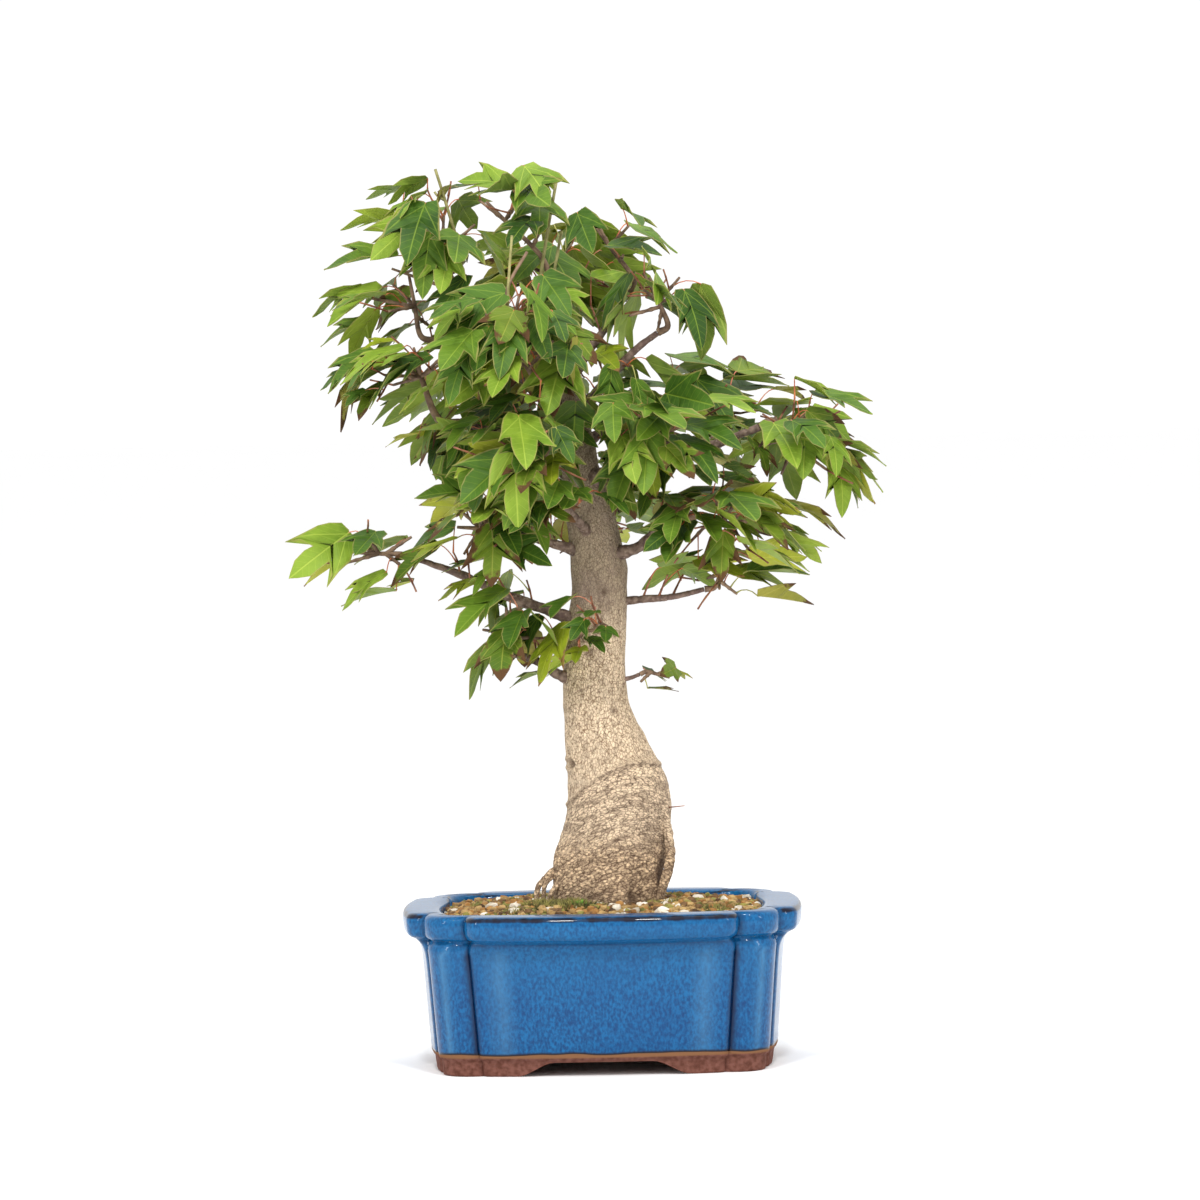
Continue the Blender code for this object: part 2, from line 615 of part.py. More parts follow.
def leaf_mesh(root, frame):
    """One leaf as a closed mesh."""
    points, faces = leaf_shape(root, frame)
    body = bmesh.new()
    corners = [body.verts.new(point) for point in points]
    for face in faces:
        body.faces.new([corners[i] for i in face])
    bmesh.ops.recalc_face_normals(body, faces=body.faces)
    mesh = bpy.data.meshes.new("leaf")
    body.to_mesh(mesh)
    body.free()
    return mesh


def build_mass(name, limbs, twig_shape, material, parts):
    """One mass of foliage: its stem, twigs, stalks and blades, fused into one body."""
    twigs, leaves = grow(name, limbs, twig_shape)
    pieces = [(twig_shape, rod_frame(*twig)) for twig in twigs]
    pieces += [(leaf_mesh(*leaf), Matrix.Identity(4)) for leaf in leaves]
    growth = fresh_collection(name + "_growth")
    items = []
    for mesh, frame in pieces:
        item = bpy.data.objects.new(name, mesh)
        item.matrix_world = frame
        items.append(item)
    mass = items.pop(0)
    parts.objects.link(mass)
    for item in items:
        growth.objects.link(item)
    union = mass.modifiers.new("fuse", "BOOLEAN")
    union.operation = "UNION"
    union.operand_type = "COLLECTION"
    union.collection = growth
    union.solver = "MANIFOLD"
    scene_view = bpy.context.evaluated_depsgraph_get()
    fused = bpy.data.meshes.new_from_object(mass.evaluated_get(scene_view))
    mass.modifiers.clear()
    fused.transform(mass.matrix_world)
    mass.data = fused
    mass.matrix_world = Matrix.Identity(4)
    fused.materials.clear()
    fused.materials.append(material)
    for item in items:
        bpy.data.objects.remove(item)
    bpy.data.collections.remove(growth)
    mass.name = name


def build():
    """The whole tree in its pot."""
    for item in list(bpy.data.objects):
        bpy.data.objects.remove(item)
    parts = fresh_collection("trident_maple_bonsai")
    cutters = fresh_collection("cutters")
    glaze = principled("glaze", (0.03, 0.13, 0.40), 0.15, 1.0)
    earth = principled("soil", (0.36, 0.24, 0.11), 0.95)
    bark = principled("bark", (0.42, 0.32, 0.22), 0.85)
    leaf = principled("leaf", (0.08, 0.20, 0.03), 0.5)

    build_pot(glaze, parts, cutters)
    build_soil(earth, parts)
    clearance = build_trunk(bark, parts, cutters)
    limbs = all_limbs()
    for name in BOUGHS:
        combine(limb_object(name, *limbs[name], bark, parts), clearance, "DIFFERENCE")
    twig_shape = twig_mesh()
    for name in MASSES:
        build_mass(name, limbs, twig_shape, leaf, parts)


build()
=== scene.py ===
"""A trident maple bonsai in its glazed pot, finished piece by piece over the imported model.

The sections follow the tree as it is potted and grown: pot, soil, moss, trunk, boughs, twigs, leaves.
Tables are in millimetres. +X is the right of the tree's front, +Y goes to its back and +Z up.
"""
import math
import random

import bpy
import numpy as np
from mathutils import Matrix, Vector, noise
from mathutils.bvhtree import BVHTree


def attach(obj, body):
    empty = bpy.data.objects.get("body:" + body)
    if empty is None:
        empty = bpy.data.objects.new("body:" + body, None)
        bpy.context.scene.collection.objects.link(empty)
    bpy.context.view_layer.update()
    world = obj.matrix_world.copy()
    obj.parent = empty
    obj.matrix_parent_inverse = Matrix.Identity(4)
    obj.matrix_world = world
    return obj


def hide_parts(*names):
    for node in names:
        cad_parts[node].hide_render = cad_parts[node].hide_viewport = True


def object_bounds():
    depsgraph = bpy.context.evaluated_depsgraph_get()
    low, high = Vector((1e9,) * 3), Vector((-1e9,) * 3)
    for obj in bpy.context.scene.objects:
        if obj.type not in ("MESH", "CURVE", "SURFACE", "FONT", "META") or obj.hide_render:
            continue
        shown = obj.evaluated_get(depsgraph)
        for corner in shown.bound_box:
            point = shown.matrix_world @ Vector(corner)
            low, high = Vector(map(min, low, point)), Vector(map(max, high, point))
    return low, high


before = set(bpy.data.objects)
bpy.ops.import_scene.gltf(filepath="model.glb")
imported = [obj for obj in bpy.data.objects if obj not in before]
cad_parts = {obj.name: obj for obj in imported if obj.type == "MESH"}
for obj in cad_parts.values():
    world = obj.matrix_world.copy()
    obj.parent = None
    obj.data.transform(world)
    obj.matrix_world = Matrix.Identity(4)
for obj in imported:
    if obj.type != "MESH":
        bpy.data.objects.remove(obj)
cad_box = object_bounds()


# The view: a long lens level with the upper crown, square to the tree's front and very slightly tilted.
# Places and distances are in metres.
VIEW_AIM = Vector((0.0018, 0.0, 0.2315))
VIEW_DISTANCE = 3.5
VIEW_HEIGHT = 0.385
VIEW_TURN = math.radians(0.5)
VIEW_TILT = math.radians(1.1)
LENS_LENGTH = 210.0
FILM_WIDTH = 36.0
VIEW_END = 50.0

lens = bpy.data.cameras.new("view")
lens.lens = LENS_LENGTH
lens.sensor_width = FILM_WIDTH
lens.clip_end = VIEW_END
camera = bpy.data.objects.new("view", lens)
bpy.context.scene.collection.objects.link(camera)
stand = Vector((
    VIEW_AIM.x + VIEW_DISTANCE * math.sin(VIEW_TURN),
    -VIEW_DISTANCE * math.cos(VIEW_TURN),
    VIEW_HEIGHT,
))
aimed = (VIEW_AIM - stand).to_track_quat("-Z", "Y").to_matrix().to_4x4()
camera.matrix_world = Matrix.Translation(stand) @ aimed @ Matrix.Rotation(-VIEW_TILT, 4, "Z")
bpy.context.scene.camera = camera


# The pot: slip-cast stoneware with lobed corners, a broad lip and four feet. Its blue glaze is poured
# over all but the feet, breaks to near black where it runs thin over edges, and ends in a wavy line.
MM = 0.001
POT_HALF_X = 97.0
POT_HALF_Y = 79.0
SIDE_BOW = 3.0
FRONT_BOW = 5.0
# A corner in plan: where the lobe's centre lies in from both sides, the lobe's radius, the depth of the
# notch either side of it, and the radius that a side ends in.
LIP_CORNER = np.array((24.5, 15.3, 10.0, 8.0))
WALL_CORNER = np.array((16.0, 14.0, 3.5, 5.0))
INNER_CORNER = np.array((15.0, 14.4, 0.8, 2.0))
SIDE_STEPS = 7
END_STEPS = 5
LOBE_STEPS = 12
# Levels up the outside: height, inset from the rim's half sizes, how far the corner is the lip's.
POT_OUTSIDE = (
    (0.0, 15.7, 0.0), (0.5, 15.2, 0.0), (1.4, 15.0, 0.0), (7.2, 14.7, 0.0), (8.0, 14.3, 0.0),
    (8.5, 13.6, 0.0), (9.4, 13.2, 0.0), (11.0, 13.1, 0.0), (12.0, 12.8, 0.0), (18.0, 12.4, 0.0),
    (26.0, 11.8, 0.0), (34.0, 11.2, 0.0), (42.0, 10.6, 0.0), (50.0, 10.0, 0.0), (56.0, 9.5, 0.0),
    (60.0, 9.0, 0.02), (62.5, 8.3, 0.08), (64.4, 7.3, 0.25), (65.8, 6.0, 0.5), (66.8, 4.6, 0.8),
    (67.4, 3.2, 1.0), (68.0, 2.0, 1.0), (69.0, 1.0, 1.0), (70.6, 0.4, 1.0), (73.4, 0.1, 1.0),
    (76.4, 0.0, 1.0), (77.9, 0.3, 1.0), (79.0, 1.0, 1.0), (79.7, 2.2, 1.0), (80.0, 3.8, 1.0),
    (80.1, 7.0, 1.0),
)
# Levels down the inside: height, inset, how far the corner is still the lip's.
POT_INSIDE = (
    (80.15, 12.0, 0.35), (80.1, 15.6, 0.0), (79.7, 17.6, 0.0), (78.9, 18.8, 0.0), (77.4, 19.5, 0.0),
    (60.0, 20.4, 0.0), (20.0, 22.5, 0.0), (15.0, 27.0, 0.0),
)
GLAZE_END = 10.6
FRONT_ARCH = (43.5, 24.0, 7.0)  # half width at the table and under the floor, height
SIDE_ARCH = (30.0, 15.0, 7.0)
ARCH_STEPS = 8
ARCH_CUT_BELOW = 4.0  # how far a cutter reaches under the table, and how far out to either side
ARCH_CUT_REACH = 130.0
DRAIN_HOLE_RADIUS = 8.0
DRAIN_HOLE_X = 34.0
DRAIN_HOLE_SIDES = 40
DRAIN_CUT_LENGTH = 45.0
POT_EDGE_ANGLE = 38  # degrees between faces from which an edge stays crisp
WELD = 0.01 * MM  # points nearer than this are one
# Where the glaze runs thin and dark: the lip's two edges, each by its height, width and strength, and the
# rim's inner edge, by how far in it lies and its width.
LIP_WIDTH = 8.0
LIP_EDGES = ((78.4, 1.7, 1.0), (68.4, 1.0, 0.5))
RIM_HEIGHT = 70.0
RIM_EDGE = (18.6, 1.1)
# Where it pools and darkens, as glaze pooling and painted shade: under the lip, where its shadow falls, by
# height, width and strength, and in the notches, by width and by strength on the walls and how much less
# that is on the lip.
UNDER_LIP_SHADE = (65.6, 1.6, 0.55)
UNDER_LIP_WIDTH = 12.0
NOTCH_POOL_AND_SHADE = (3.2, 0.9, 0.3)
LOBED_FROM = (61.0, 6.0)  # the height where a corner starts to turn into the lip's, and over how much
# Where it thins to a milky blue down each corner, which also paints the reflection streaks seen there: how
# far right of the lobe's middle, in the lobe's radii, then width and strength.
MILKY_REFLECTION_LINES = ((0.5, 1.6, 1.0), (-1.4, 2.6, 0.6))
CORNER_DEPTH = 30.0
# The glaze's colours: plain, on its speckles, in its clouds, in its runs, down the corners with painted
# reflection, pooled and in painted shade, broken over an edge and at its end. Then the bare clay's, with
# its toasted line under the glaze's end.
DEEP_BLUE = (0.000, 0.034, 0.125)
BRIGHT_BLUE = (0.004, 0.118, 0.300)
CLOUDED_BLUE = (0.000, 0.044, 0.155)
PALE_BLUE = (0.012, 0.150, 0.320)
MILKY_REFLECTION_BLUE = (0.080, 0.230, 0.390)
POOLED_AND_SHADED_BLUE = (0.000, 0.010, 0.045)
BROKEN_BLACK = (0.004, 0.004, 0.014)
END_BLACK = (0.010, 0.007, 0.010)
DARK_CLAY = (0.100, 0.038, 0.026)
LIGHT_CLAY = (0.190, 0.080, 0.060)
TOASTED_CLAY = (0.210, 0.100, 0.048)


class Amount:
    """A number that varies over a surface, so that a finish's maths reads as plain expressions."""

    def __init__(self, finish, socket):
        self.finish = finish
        self.socket = socket

    def maths(self, operation, first, second):
        return self.finish.node("ShaderNodeMath", {"operation": operation}, {0: first, 1: second})

    def __add__(self, other):
        return self.maths("ADD", self, other)

    def __radd__(self, other):
        return self.maths("ADD", other, self)

    def __sub__(self, other):
        return self.maths("SUBTRACT", self, other)

    def __rsub__(self, other):
        return self.maths("SUBTRACT", other, self)

    def __mul__(self, other):
        return self.maths("MULTIPLY", self, other)

    def __rmul__(self, other):
        return self.maths("MULTIPLY", other, self)

    def __abs__(self):
        return self.maths("ABSOLUTE", self, 0.0)

    def __mod__(self, other):
        return self.maths("FLOORED_MODULO", self, other)

    def __pow__(self, other):
        return self.maths("POWER", self, other)

    def most(self, other):
        return self.maths("MAXIMUM", self, other)

    def ramp(self, low, high):
        """Nothing at low, all at high, and smooth between; low may be the larger."""
        return self.finish.node(
            "ShaderNodeMapRange", {"interpolation_type": "SMOOTHSTEP"},
            {"Value": self, "From Min": low, "From Max": high},
        )


class Finish:
    """A material, with the nodes that vary its colour, gloss and grain."""

    def __init__(self, name, **constants):
        self.material = bpy.data.materials.new(name)
        self.material.use_nodes = True
        self.tree = self.material.node_tree
        self.shader = self.tree.nodes["Principled BSDF"]
        for socket, value in constants.items():
            self.shader.inputs[socket.replace("_", " ")].default_value = value
        self.spot = self.node("ShaderNodeTexCoord", {}, {}, "Object")

    def node(self, kind, settings, sockets, output=0):
        """Adds a node: its settings first, then each socket's value or link. Gives one of its outputs."""
        node = self.tree.nodes.new(kind)
        for setting, value in settings.items():
            setattr(node, setting, value)
        for name, value in sockets.items():
            if isinstance(value, Amount):
                self.tree.links.new(value.socket, node.inputs[name])
            else:
                node.inputs[name].default_value = value
        return Amount(self, node.outputs[output])

    def stretched(self, stretch):
        """The place on the piece, scaled along each axis."""
        return self.node("ShaderNodeMapping", {}, {"Vector": self.spot, "Scale": stretch})

    def clouds(self, size, detail=3.0, stretch=(1.0, 1.0, 1.0), rough=0.5):
        """Noise whose clouds are about so many millimetres across, from 0 to 1."""
        return self.node(
            "ShaderNodeTexNoise", {"normalize": True}, {
                "Vector": self.stretched(stretch),
                "Scale": 0.6 / (size * MM),
                "Detail": detail,
                "Roughness": rough,
            },
        )

    def dots(self, size, stretch=(1.0, 1.0, 1.0)):
        """Distance from scattered points that lie about so many millimetres apart, 0 at each."""
        return self.node(
            "ShaderNodeTexVoronoi", {"feature": "F1"},
            {"Vector": self.stretched(stretch), "Scale": 1.0 / (size * MM)},
        )

    def cracks(self, size, at, warp):
        """Distance from the edges of cells about so many millimetres across, 0 on each edge."""
        sway = self.node("ShaderNodeTexNoise", {}, {"Vector": at, "Scale": 0.5 / (size * MM)}, "Color")
        moved = self.node(
            "ShaderNodeVectorMath", {"operation": "MULTIPLY_ADD"},
            {0: sway, 1: (warp * size * MM,) * 3, 2: at}, "Vector",
        )
        return self.node(
            "ShaderNodeTexVoronoi", {"feature": "DISTANCE_TO_EDGE"},
            {"Vector": moved, "Scale": 1.0 / (size * MM)},
        )

    def axis(self, name):
        """Millimetres along one axis."""
        return self.node("ShaderNodeSeparateXYZ", {}, {"Vector": self.spot}, name) * (1 / MM)

    def point(self, x, y, z):
        """A point, from millimetres."""
        return self.node("ShaderNodeCombineXYZ", {}, {"X": x * MM, "Y": y * MM, "Z": z * MM}, "Vector")

    def attribute(self, name):
        """What was noted at each point of the piece."""
        return self.node("ShaderNodeAttribute", {"attribute_name": name}, {}, "Fac")

    def mix(self, share, first, second):
        """From the first colour to the second."""
        first, second = (c if isinstance(c, Amount) else (*c, 1.0) for c in (first, second))
        return self.node("ShaderNodeMix", {"data_type": "RGBA"}, {0: share, 6: first, 7: second}, 2)

    def wear(self, socket, amount):
        """Lets an amount vary one of the shader's sockets."""
        self.tree.links.new(amount.socket, self.shader.inputs[socket])

    def relief(self, height, depth):
        """Grain too fine to model, so many millimetres deep."""
        bump = self.node("ShaderNodeBump", {}, {"Height": height, "Distance": depth * MM, "Strength": 1.0})
        self.wear("Normal", bump)


def bell(distance, width):
    """1 where the distance is nought, falling off smoothly over the width."""
    return math.exp(-((distance / width) ** 2))


def portion(value, start, span):
    """0 at the start, 1 a span further on, even between and level beyond."""
    return min(1.0, max(0.0, (value - start) / span))


def notch_place(centre, radius, notch):
    """How far along a side, from the corner, the lobe runs into its notch."""
    return centre + math.sqrt(radius**2 - (centre - notch) ** 2)


def plan_outline(inset, corner):
    """The pot's outline at one level, anticlockwise from the middle of its right side."""
    half_x, half_y = POT_HALF_X - inset, POT_HALF_Y - inset
    centre, radius, notch, side_end = corner
    along = notch_place(centre, radius, notch)
    swing = math.atan2(along - centre, centre - notch)
    right = []
    front = []
    for step in range(SIDE_STEPS):
        share = step / SIDE_STEPS
        right.append((half_x + SIDE_BOW * (1 - share**2), (half_y - along - side_end) * share))
        front.append(((half_x - along - side_end) * share, half_y + FRONT_BOW * (1 - share**2)))
    for step in range(END_STEPS):
        turn = math.pi / 2 * step / END_STEPS
        in_x, in_y = notch * (1 - math.cos(turn)), side_end * (1 - math.sin(turn))
        right.append((half_x - in_x, half_y - along - in_y))
        front.append((half_x - along - in_y, half_y - in_x))
    lobe = []
    for step in range(LOBE_STEPS + 1):
        turn = -swing + (math.pi / 2 + 2 * swing) * step / LOBE_STEPS
        lobe.append((half_x - centre + radius * math.cos(turn), half_y - centre + radius * math.sin(turn)))
    quarter = np.array([*right, *lobe, *front[::-1]])
    back = quarter[::-1]
    return np.concatenate((
        quarter[:-1],
        back[:-1] * (-1, 1),
        quarter[:-1] * (-1, -1),
        back[:-1] * (1, -1),
    ))


def rolled_sheet(name, rows):
    """A sheet bent through rows of equally many points, closed round into a tube with its ends filled."""
    rows = np.asarray(rows)
    along, around = rows.shape[:2]
    bpy.ops.object.select_all(action="DESELECT")
    bpy.ops.mesh.primitive_grid_add(x_subdivisions=around, y_subdivisions=along - 1, size=1.0)
    sheet = bpy.context.object
    sheet.name = name
    flat = np.empty(len(sheet.data.vertices) * 3)
    sheet.data.vertices.foreach_get("co", flat)
    flat = flat.reshape(-1, 3)
    column = np.rint((flat[:, 0] + 0.5) * around).astype(int) % around
    row = np.rint((flat[:, 1] + 0.5) * (along - 1)).astype(int)
    sheet.data.vertices.foreach_set("co", (rows[row, column] * MM).ravel())
    bpy.ops.object.mode_set(mode="EDIT")
    bpy.ops.mesh.select_all(action="SELECT")
    bpy.ops.mesh.remove_doubles(threshold=WELD)
    bpy.ops.mesh.select_all(action="DESELECT")
    bpy.ops.mesh.select_non_manifold()
    bpy.ops.mesh.fill_holes(sides=0)
    bpy.ops.mesh.select_all(action="SELECT")
    bpy.ops.mesh.normals_make_consistent(inside=False)
    bpy.ops.object.mode_set(mode="OBJECT")
    bpy.ops.object.shade_smooth()
    return sheet


def cut_away(piece, cutter):
    """Cuts the cutter's shape out of the piece and throws the cutter away."""
    change = piece.modifiers.new("cut", "BOOLEAN")
    change.operation = "DIFFERENCE"
    change.object = cutter
    bpy.context.view_layer.objects.active = piece
    bpy.ops.object.modifier_apply(modifier=change.name)
    bpy.data.objects.remove(cutter)


def arch_cutter(arch, turn):
    """A long bar with an ogee back, lying under the pot from one side to the other."""
    half_base, half_top, height = arch
    flank = [(half_base, -ARCH_CUT_BELOW)]
    for step in range(ARCH_STEPS + 1):
        share = step / ARCH_STEPS
        flank.append((half_base + (half_top - half_base) * share, height * share**2 * (3 - 2 * share)))
    profile = [*flank, *((-x, z) for x, z in reversed(flank))]
    rows = []
    for y in (-ARCH_CUT_REACH, ARCH_CUT_REACH):
        rows.append([Matrix.Rotation(turn, 3, "Z") @ Vector((x, y, z)) for x, z in profile])
    return rolled_sheet("arch", rows)


def glaze_notes(x, y, z):
    """How thin the glaze lies at a point, how far it pools and darkens with painted shade, and how far it
    turns pale with painted reflection streaks, given as if it were in the pot's back right.
    """
    outward = max(x - POT_HALF_X, y - POT_HALF_Y)
    thin = 0.0
    if outward > -LIP_WIDTH:
        thin = max(strength * bell(z - height, width) for height, width, strength in LIP_EDGES)
    elif z > RIM_HEIGHT:
        thin = bell(outward + RIM_EDGE[0], RIM_EDGE[1])
    lobed = portion(z, *LOBED_FROM)
    levels, insets, _ = zip(*POT_OUTSIDE)
    inset = np.interp(z, levels, insets)
    centre, radius, notch, _ = WALL_CORNER + (LIP_CORNER - WALL_CORNER) * lobed
    along = notch_place(centre, radius, notch)
    # Painted shade under the lip, where its shadow falls, and in the notches, together with the glaze's
    # pooling there.
    height, width, strength = UNDER_LIP_SHADE
    pooled_and_shaded = strength * bell(z - height, width) * (outward > -UNDER_LIP_WIDTH)
    width, strength, less = NOTCH_POOL_AND_SHADE
    for fold_x, fold_y in ((notch, along), (along, notch)):
        away = math.hypot(x - (POT_HALF_X - inset - fold_x), y - (POT_HALF_Y - inset - fold_y))
        pooled_and_shaded = max(pooled_and_shaded, (strength - less * lobed) * bell(away, width))
    # Pale streaks down each corner: thinner glaze, and a painted reflection streak.
    milky_and_reflected = 0.0
    if y > POT_HALF_Y - CORNER_DEPTH:
        lobe_x = POT_HALF_X - inset - centre
        for shift, width, strength in MILKY_REFLECTION_LINES:
            milky_and_reflected = max(milky_and_reflected, strength * bell(x - lobe_x - radius * shift, width) * (1.0 - lobed))
    return thin, pooled_and_shaded, milky_and_reflected


def noted(piece, name, values):
    """Notes a value at each point of a piece, for its finish to read."""
    piece.data.attributes.new(name, "FLOAT", "POINT").data.foreach_set("value", values)


pot_rows = []
for height, inset, lobed in POT_OUTSIDE:
    outline = plan_outline(inset, WALL_CORNER + (LIP_CORNER - WALL_CORNER) * lobed)
    pot_rows.append([(x, y, height) for x, y in outline])
for height, inset, lobed in POT_INSIDE:
    outline = plan_outline(inset, INNER_CORNER + (LIP_CORNER - INNER_CORNER) * lobed)
    pot_rows.append([(x, y, height) for x, y in outline])
pot = rolled_sheet("glazed_pot", pot_rows)
cut_away(pot, arch_cutter(FRONT_ARCH, 0.0))
cut_away(pot, arch_cutter(SIDE_ARCH, math.pi / 2))
for side in (-1, 1):
    bpy.ops.mesh.primitive_cylinder_add(
        vertices=DRAIN_HOLE_SIDES,
        radius=DRAIN_HOLE_RADIUS * MM,
        depth=DRAIN_CUT_LENGTH * MM,
        location=(side * DRAIN_HOLE_X * MM, 0.0, 0.0),
    )
    cut_away(pot, bpy.context.object)
bpy.ops.object.select_all(action="DESELECT")
pot.select_set(True)
bpy.context.view_layer.objects.active = pot
bpy.ops.object.shade_smooth_by_angle(angle=math.radians(POT_EDGE_ANGLE))
notes = [glaze_notes(abs(v.co.x) / MM, abs(v.co.y) / MM, v.co.z / MM) for v in pot.data.vertices]
for name, values in zip(("thin_glaze", "pooled_glaze", "milky_glaze"), zip(*notes)):
    noted(pot, name, values)

glaze = Finish("speckled_blue_glaze", Coat_Roughness=0.03, Coat_IOR=1.4, Specular_IOR_Level=0.05)
speckle = glaze.clouds(0.75, 3.0, (1.0, 1.0, 0.6))
cloudy = glaze.clouds(22.0, 3.0)
runs = glaze.clouds(4.0, 3.0, (1.0, 1.0, 0.25))
up = glaze.axis("Z")
blue = glaze.mix(speckle.ramp(0.24, 0.80), DEEP_BLUE, BRIGHT_BLUE)
blue = glaze.mix(cloudy.ramp(0.35, 0.75) * 0.35, blue, CLOUDED_BLUE)
blue = glaze.mix(up.ramp(30.0, 62.0) * runs * 0.35, blue, PALE_BLUE)
# Milky blue down the corners, also a painted reflection streak.
blue = glaze.mix(glaze.attribute("milky_glaze") * (0.15 + runs * 0.6), blue, MILKY_REFLECTION_BLUE)
# Painted shade under the lip and in the notches, together with the glaze's pooling.
pooled_and_shaded = glaze.attribute("pooled_glaze") + (runs - 0.5) * 0.5
blue = glaze.mix(pooled_and_shaded.ramp(0.10, 0.95), blue, POOLED_AND_SHADED_BLUE)
broken = (glaze.attribute("thin_glaze") + (runs - 0.5) * 0.9).ramp(0.42, 0.95)
blue = glaze.mix(broken, blue, BROKEN_BLACK)
level = up + (glaze.clouds(26.0, 2.0, (1.0, 1.0, 0.1)) - 0.5) * 5.0
glazed = level.ramp(GLAZE_END - 0.25, GLAZE_END + 0.25)
blue = glaze.mix(level.ramp(GLAZE_END + 1.7, GLAZE_END + 0.3), blue, END_BLACK)
clay_grain = glaze.clouds(1.6, 4.0)
clay = glaze.mix(clay_grain.ramp(0.3, 0.7), DARK_CLAY, LIGHT_CLAY)
clay = glaze.mix(up.ramp(GLAZE_END - 1.9, GLAZE_END - 0.8), clay, TOASTED_CLAY)
glaze.wear("Base Color", glaze.mix(glazed, clay, blue))
glaze.wear("Coat Weight", glazed * 0.6)
glaze.wear("Roughness", 0.72 - glazed * 0.40 + speckle * 0.06)
glaze.relief(speckle * 0.25 + cloudy * 2.0 + (1.0 - glazed) * clay_grain * 0.8, 0.16)
pot.data.materials.clear()
pot.data.materials.append(glaze.material)
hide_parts("pot")
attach(pot, "root")


# The soil: loose fired-clay grains of 2 to 5 mm heaped to the rim round the trunk's foot, some of them
# with moss on, and larger bits of white pumice, most of these by the trunk. Damp soil shows between them.
FLOOR_TOP = 15.0
SOIL_EDGE = 76.0
GROUND = 80.7
PART_GAP = 0.3  # between the model's parts
MOUND_SHARE = 0.52
MOUND_CORNER = 0.86  # how round the mound is in plan
SOIL_INSET = 19.8
SOIL_CORNER = (11.0, 13.5)  # how far in a corner's middle lies, and its radius
BED_DEPTH = 1.6  # of the fine soil between the grains, under the soil's mean level
BED_SCALES = (1.0, 0.85, 0.7, MOUND_SHARE, 0.25, 0.02)
BED_INTO_WALL = 0.2
BED_FOOT = (1.0, 6.0)  # how far above the pot's floor the bed starts, and how far in from its wall
GRAIN_REACH = (85.0, 70.0)
GRAIN_MARGIN = 1.5
GRAIN_SCATTER = 0.35  # of the spacing
GRAIN_LIFT = (-0.5, 0.6)
GRAIN_LAYERS = ((2.6, -1.7), (4.42, -0.3))  # how far apart the grains lie, and how high above the level
GRAIN_SIZES = (1.6, 3.7)  # of the cube that a grain is rounded from, which ends up 1.4 times as long
PUMICE = 4  # the last of the grain finishes
PUMICE_SIZES = (3.0, 5.2)
PUMICE_CHANCE = 0.24  # in front of the trunk, to the right of the moss
MOSS_END = -4.0
TRUNK_FOOT = (1.5, 0.0, 25.0, 22.0)  # middle and half sizes of the trunk's foot in plan
NEAR_TRUNK = 1.45
GRAIN_SHAPES = 6
GRAIN_ROUNDNESS = 0.75
GRAIN_UNEVENNESS = 0.16
GRAIN_LENGTHS = (0.85, 1.15)  # of a grain's size, as are its width and height
GRAIN_WIDTHS = (0.75, 1.0)
GRAIN_HEIGHT = 0.8
GRAIN_EDGE_ANGLE = 50
GRAIN_ROUGHNESS = 0.92
GRAIN_SEED = 11
DAMP_SOIL = (0.030, 0.016, 0.008)
DRY_SOIL = (0.110, 0.055, 0.022)

earth = Finish("damp_soil", Roughness=0.95)
earth_grain = earth.clouds(2.2, 4.0)
earth.wear("Base Color", earth.mix(earth_grain.ramp(0.3, 0.7), DAMP_SOIL, DRY_SOIL))
earth.relief(earth_grain, 1.2)


def grain_finish(name, dark, light):
    """Matt, pitted grains of one kind, each a little lighter or darker than the next."""
    finish = Finish(name, Roughness=GRAIN_ROUGHNESS)
    patches = finish.clouds(4.5, 1.0)
    pits = finish.clouds(0.8, 3.0)
    shade = (patches * 0.7 + pits * 0.3).ramp(0.32, 0.66)
    finish.wear("Base Color", finish.mix(shade, dark, light))
    finish.relief(pits, 0.35)
    return finish.material


GRAIN_FINISHES = (
    (grain_finish("tan_clay_grain", (0.230, 0.135, 0.045), (0.500, 0.330, 0.130)), 0.40),
    (grain_finish("orange_clay_grain", (0.170, 0.075, 0.020), (0.400, 0.200, 0.055)), 0.24),
    (grain_finish("brown_clay_grain", (0.060, 0.032, 0.014), (0.200, 0.110, 0.045)), 0.22),
    (grain_finish("mossy_grain", (0.110, 0.105, 0.020), (0.330, 0.290, 0.070)), 0.11),
    (grain_finish("white_pumice", (0.520, 0.450, 0.340), (0.860, 0.800, 0.700)), 0.035),
)


def joined(name, pieces):
    """Many small pieces made one."""
    bpy.ops.object.select_all(action="DESELECT")
    for piece in pieces:
        piece.select_set(True)
    bpy.context.view_layer.objects.active = pieces[0]
    bpy.ops.object.join()
    pieces[0].name = name
    return pieces[0]


def copied(shape, where, slot):
    """A copy of a shape at its place, its faces moved on by so many material slots."""
    copy = bpy.data.objects.new(shape.name, shape.data.copy())
    bpy.context.scene.collection.objects.link(copy)
    copy.data.transform(where)
    slots = [polygon.material_index + slot for polygon in copy.data.polygons]
    copy.data.polygons.foreach_set("material_index", slots)
    return copy


def soil_height(x, y):
    """The top of the soil at a point, in millimetres."""
    across = POT_HALF_X - SOIL_INSET
    deep = POT_HALF_Y - SOIL_INSET
    share = max(abs(x) / across, abs(y) / deep, math.hypot(x / across, y / deep) * MOUND_CORNER)
    rise = portion(share, 1.0, MOUND_SHARE - 1.0)
    return SOIL_EDGE + (GROUND - PART_GAP - SOIL_EDGE) * math.sin(rise * math.pi / 2)


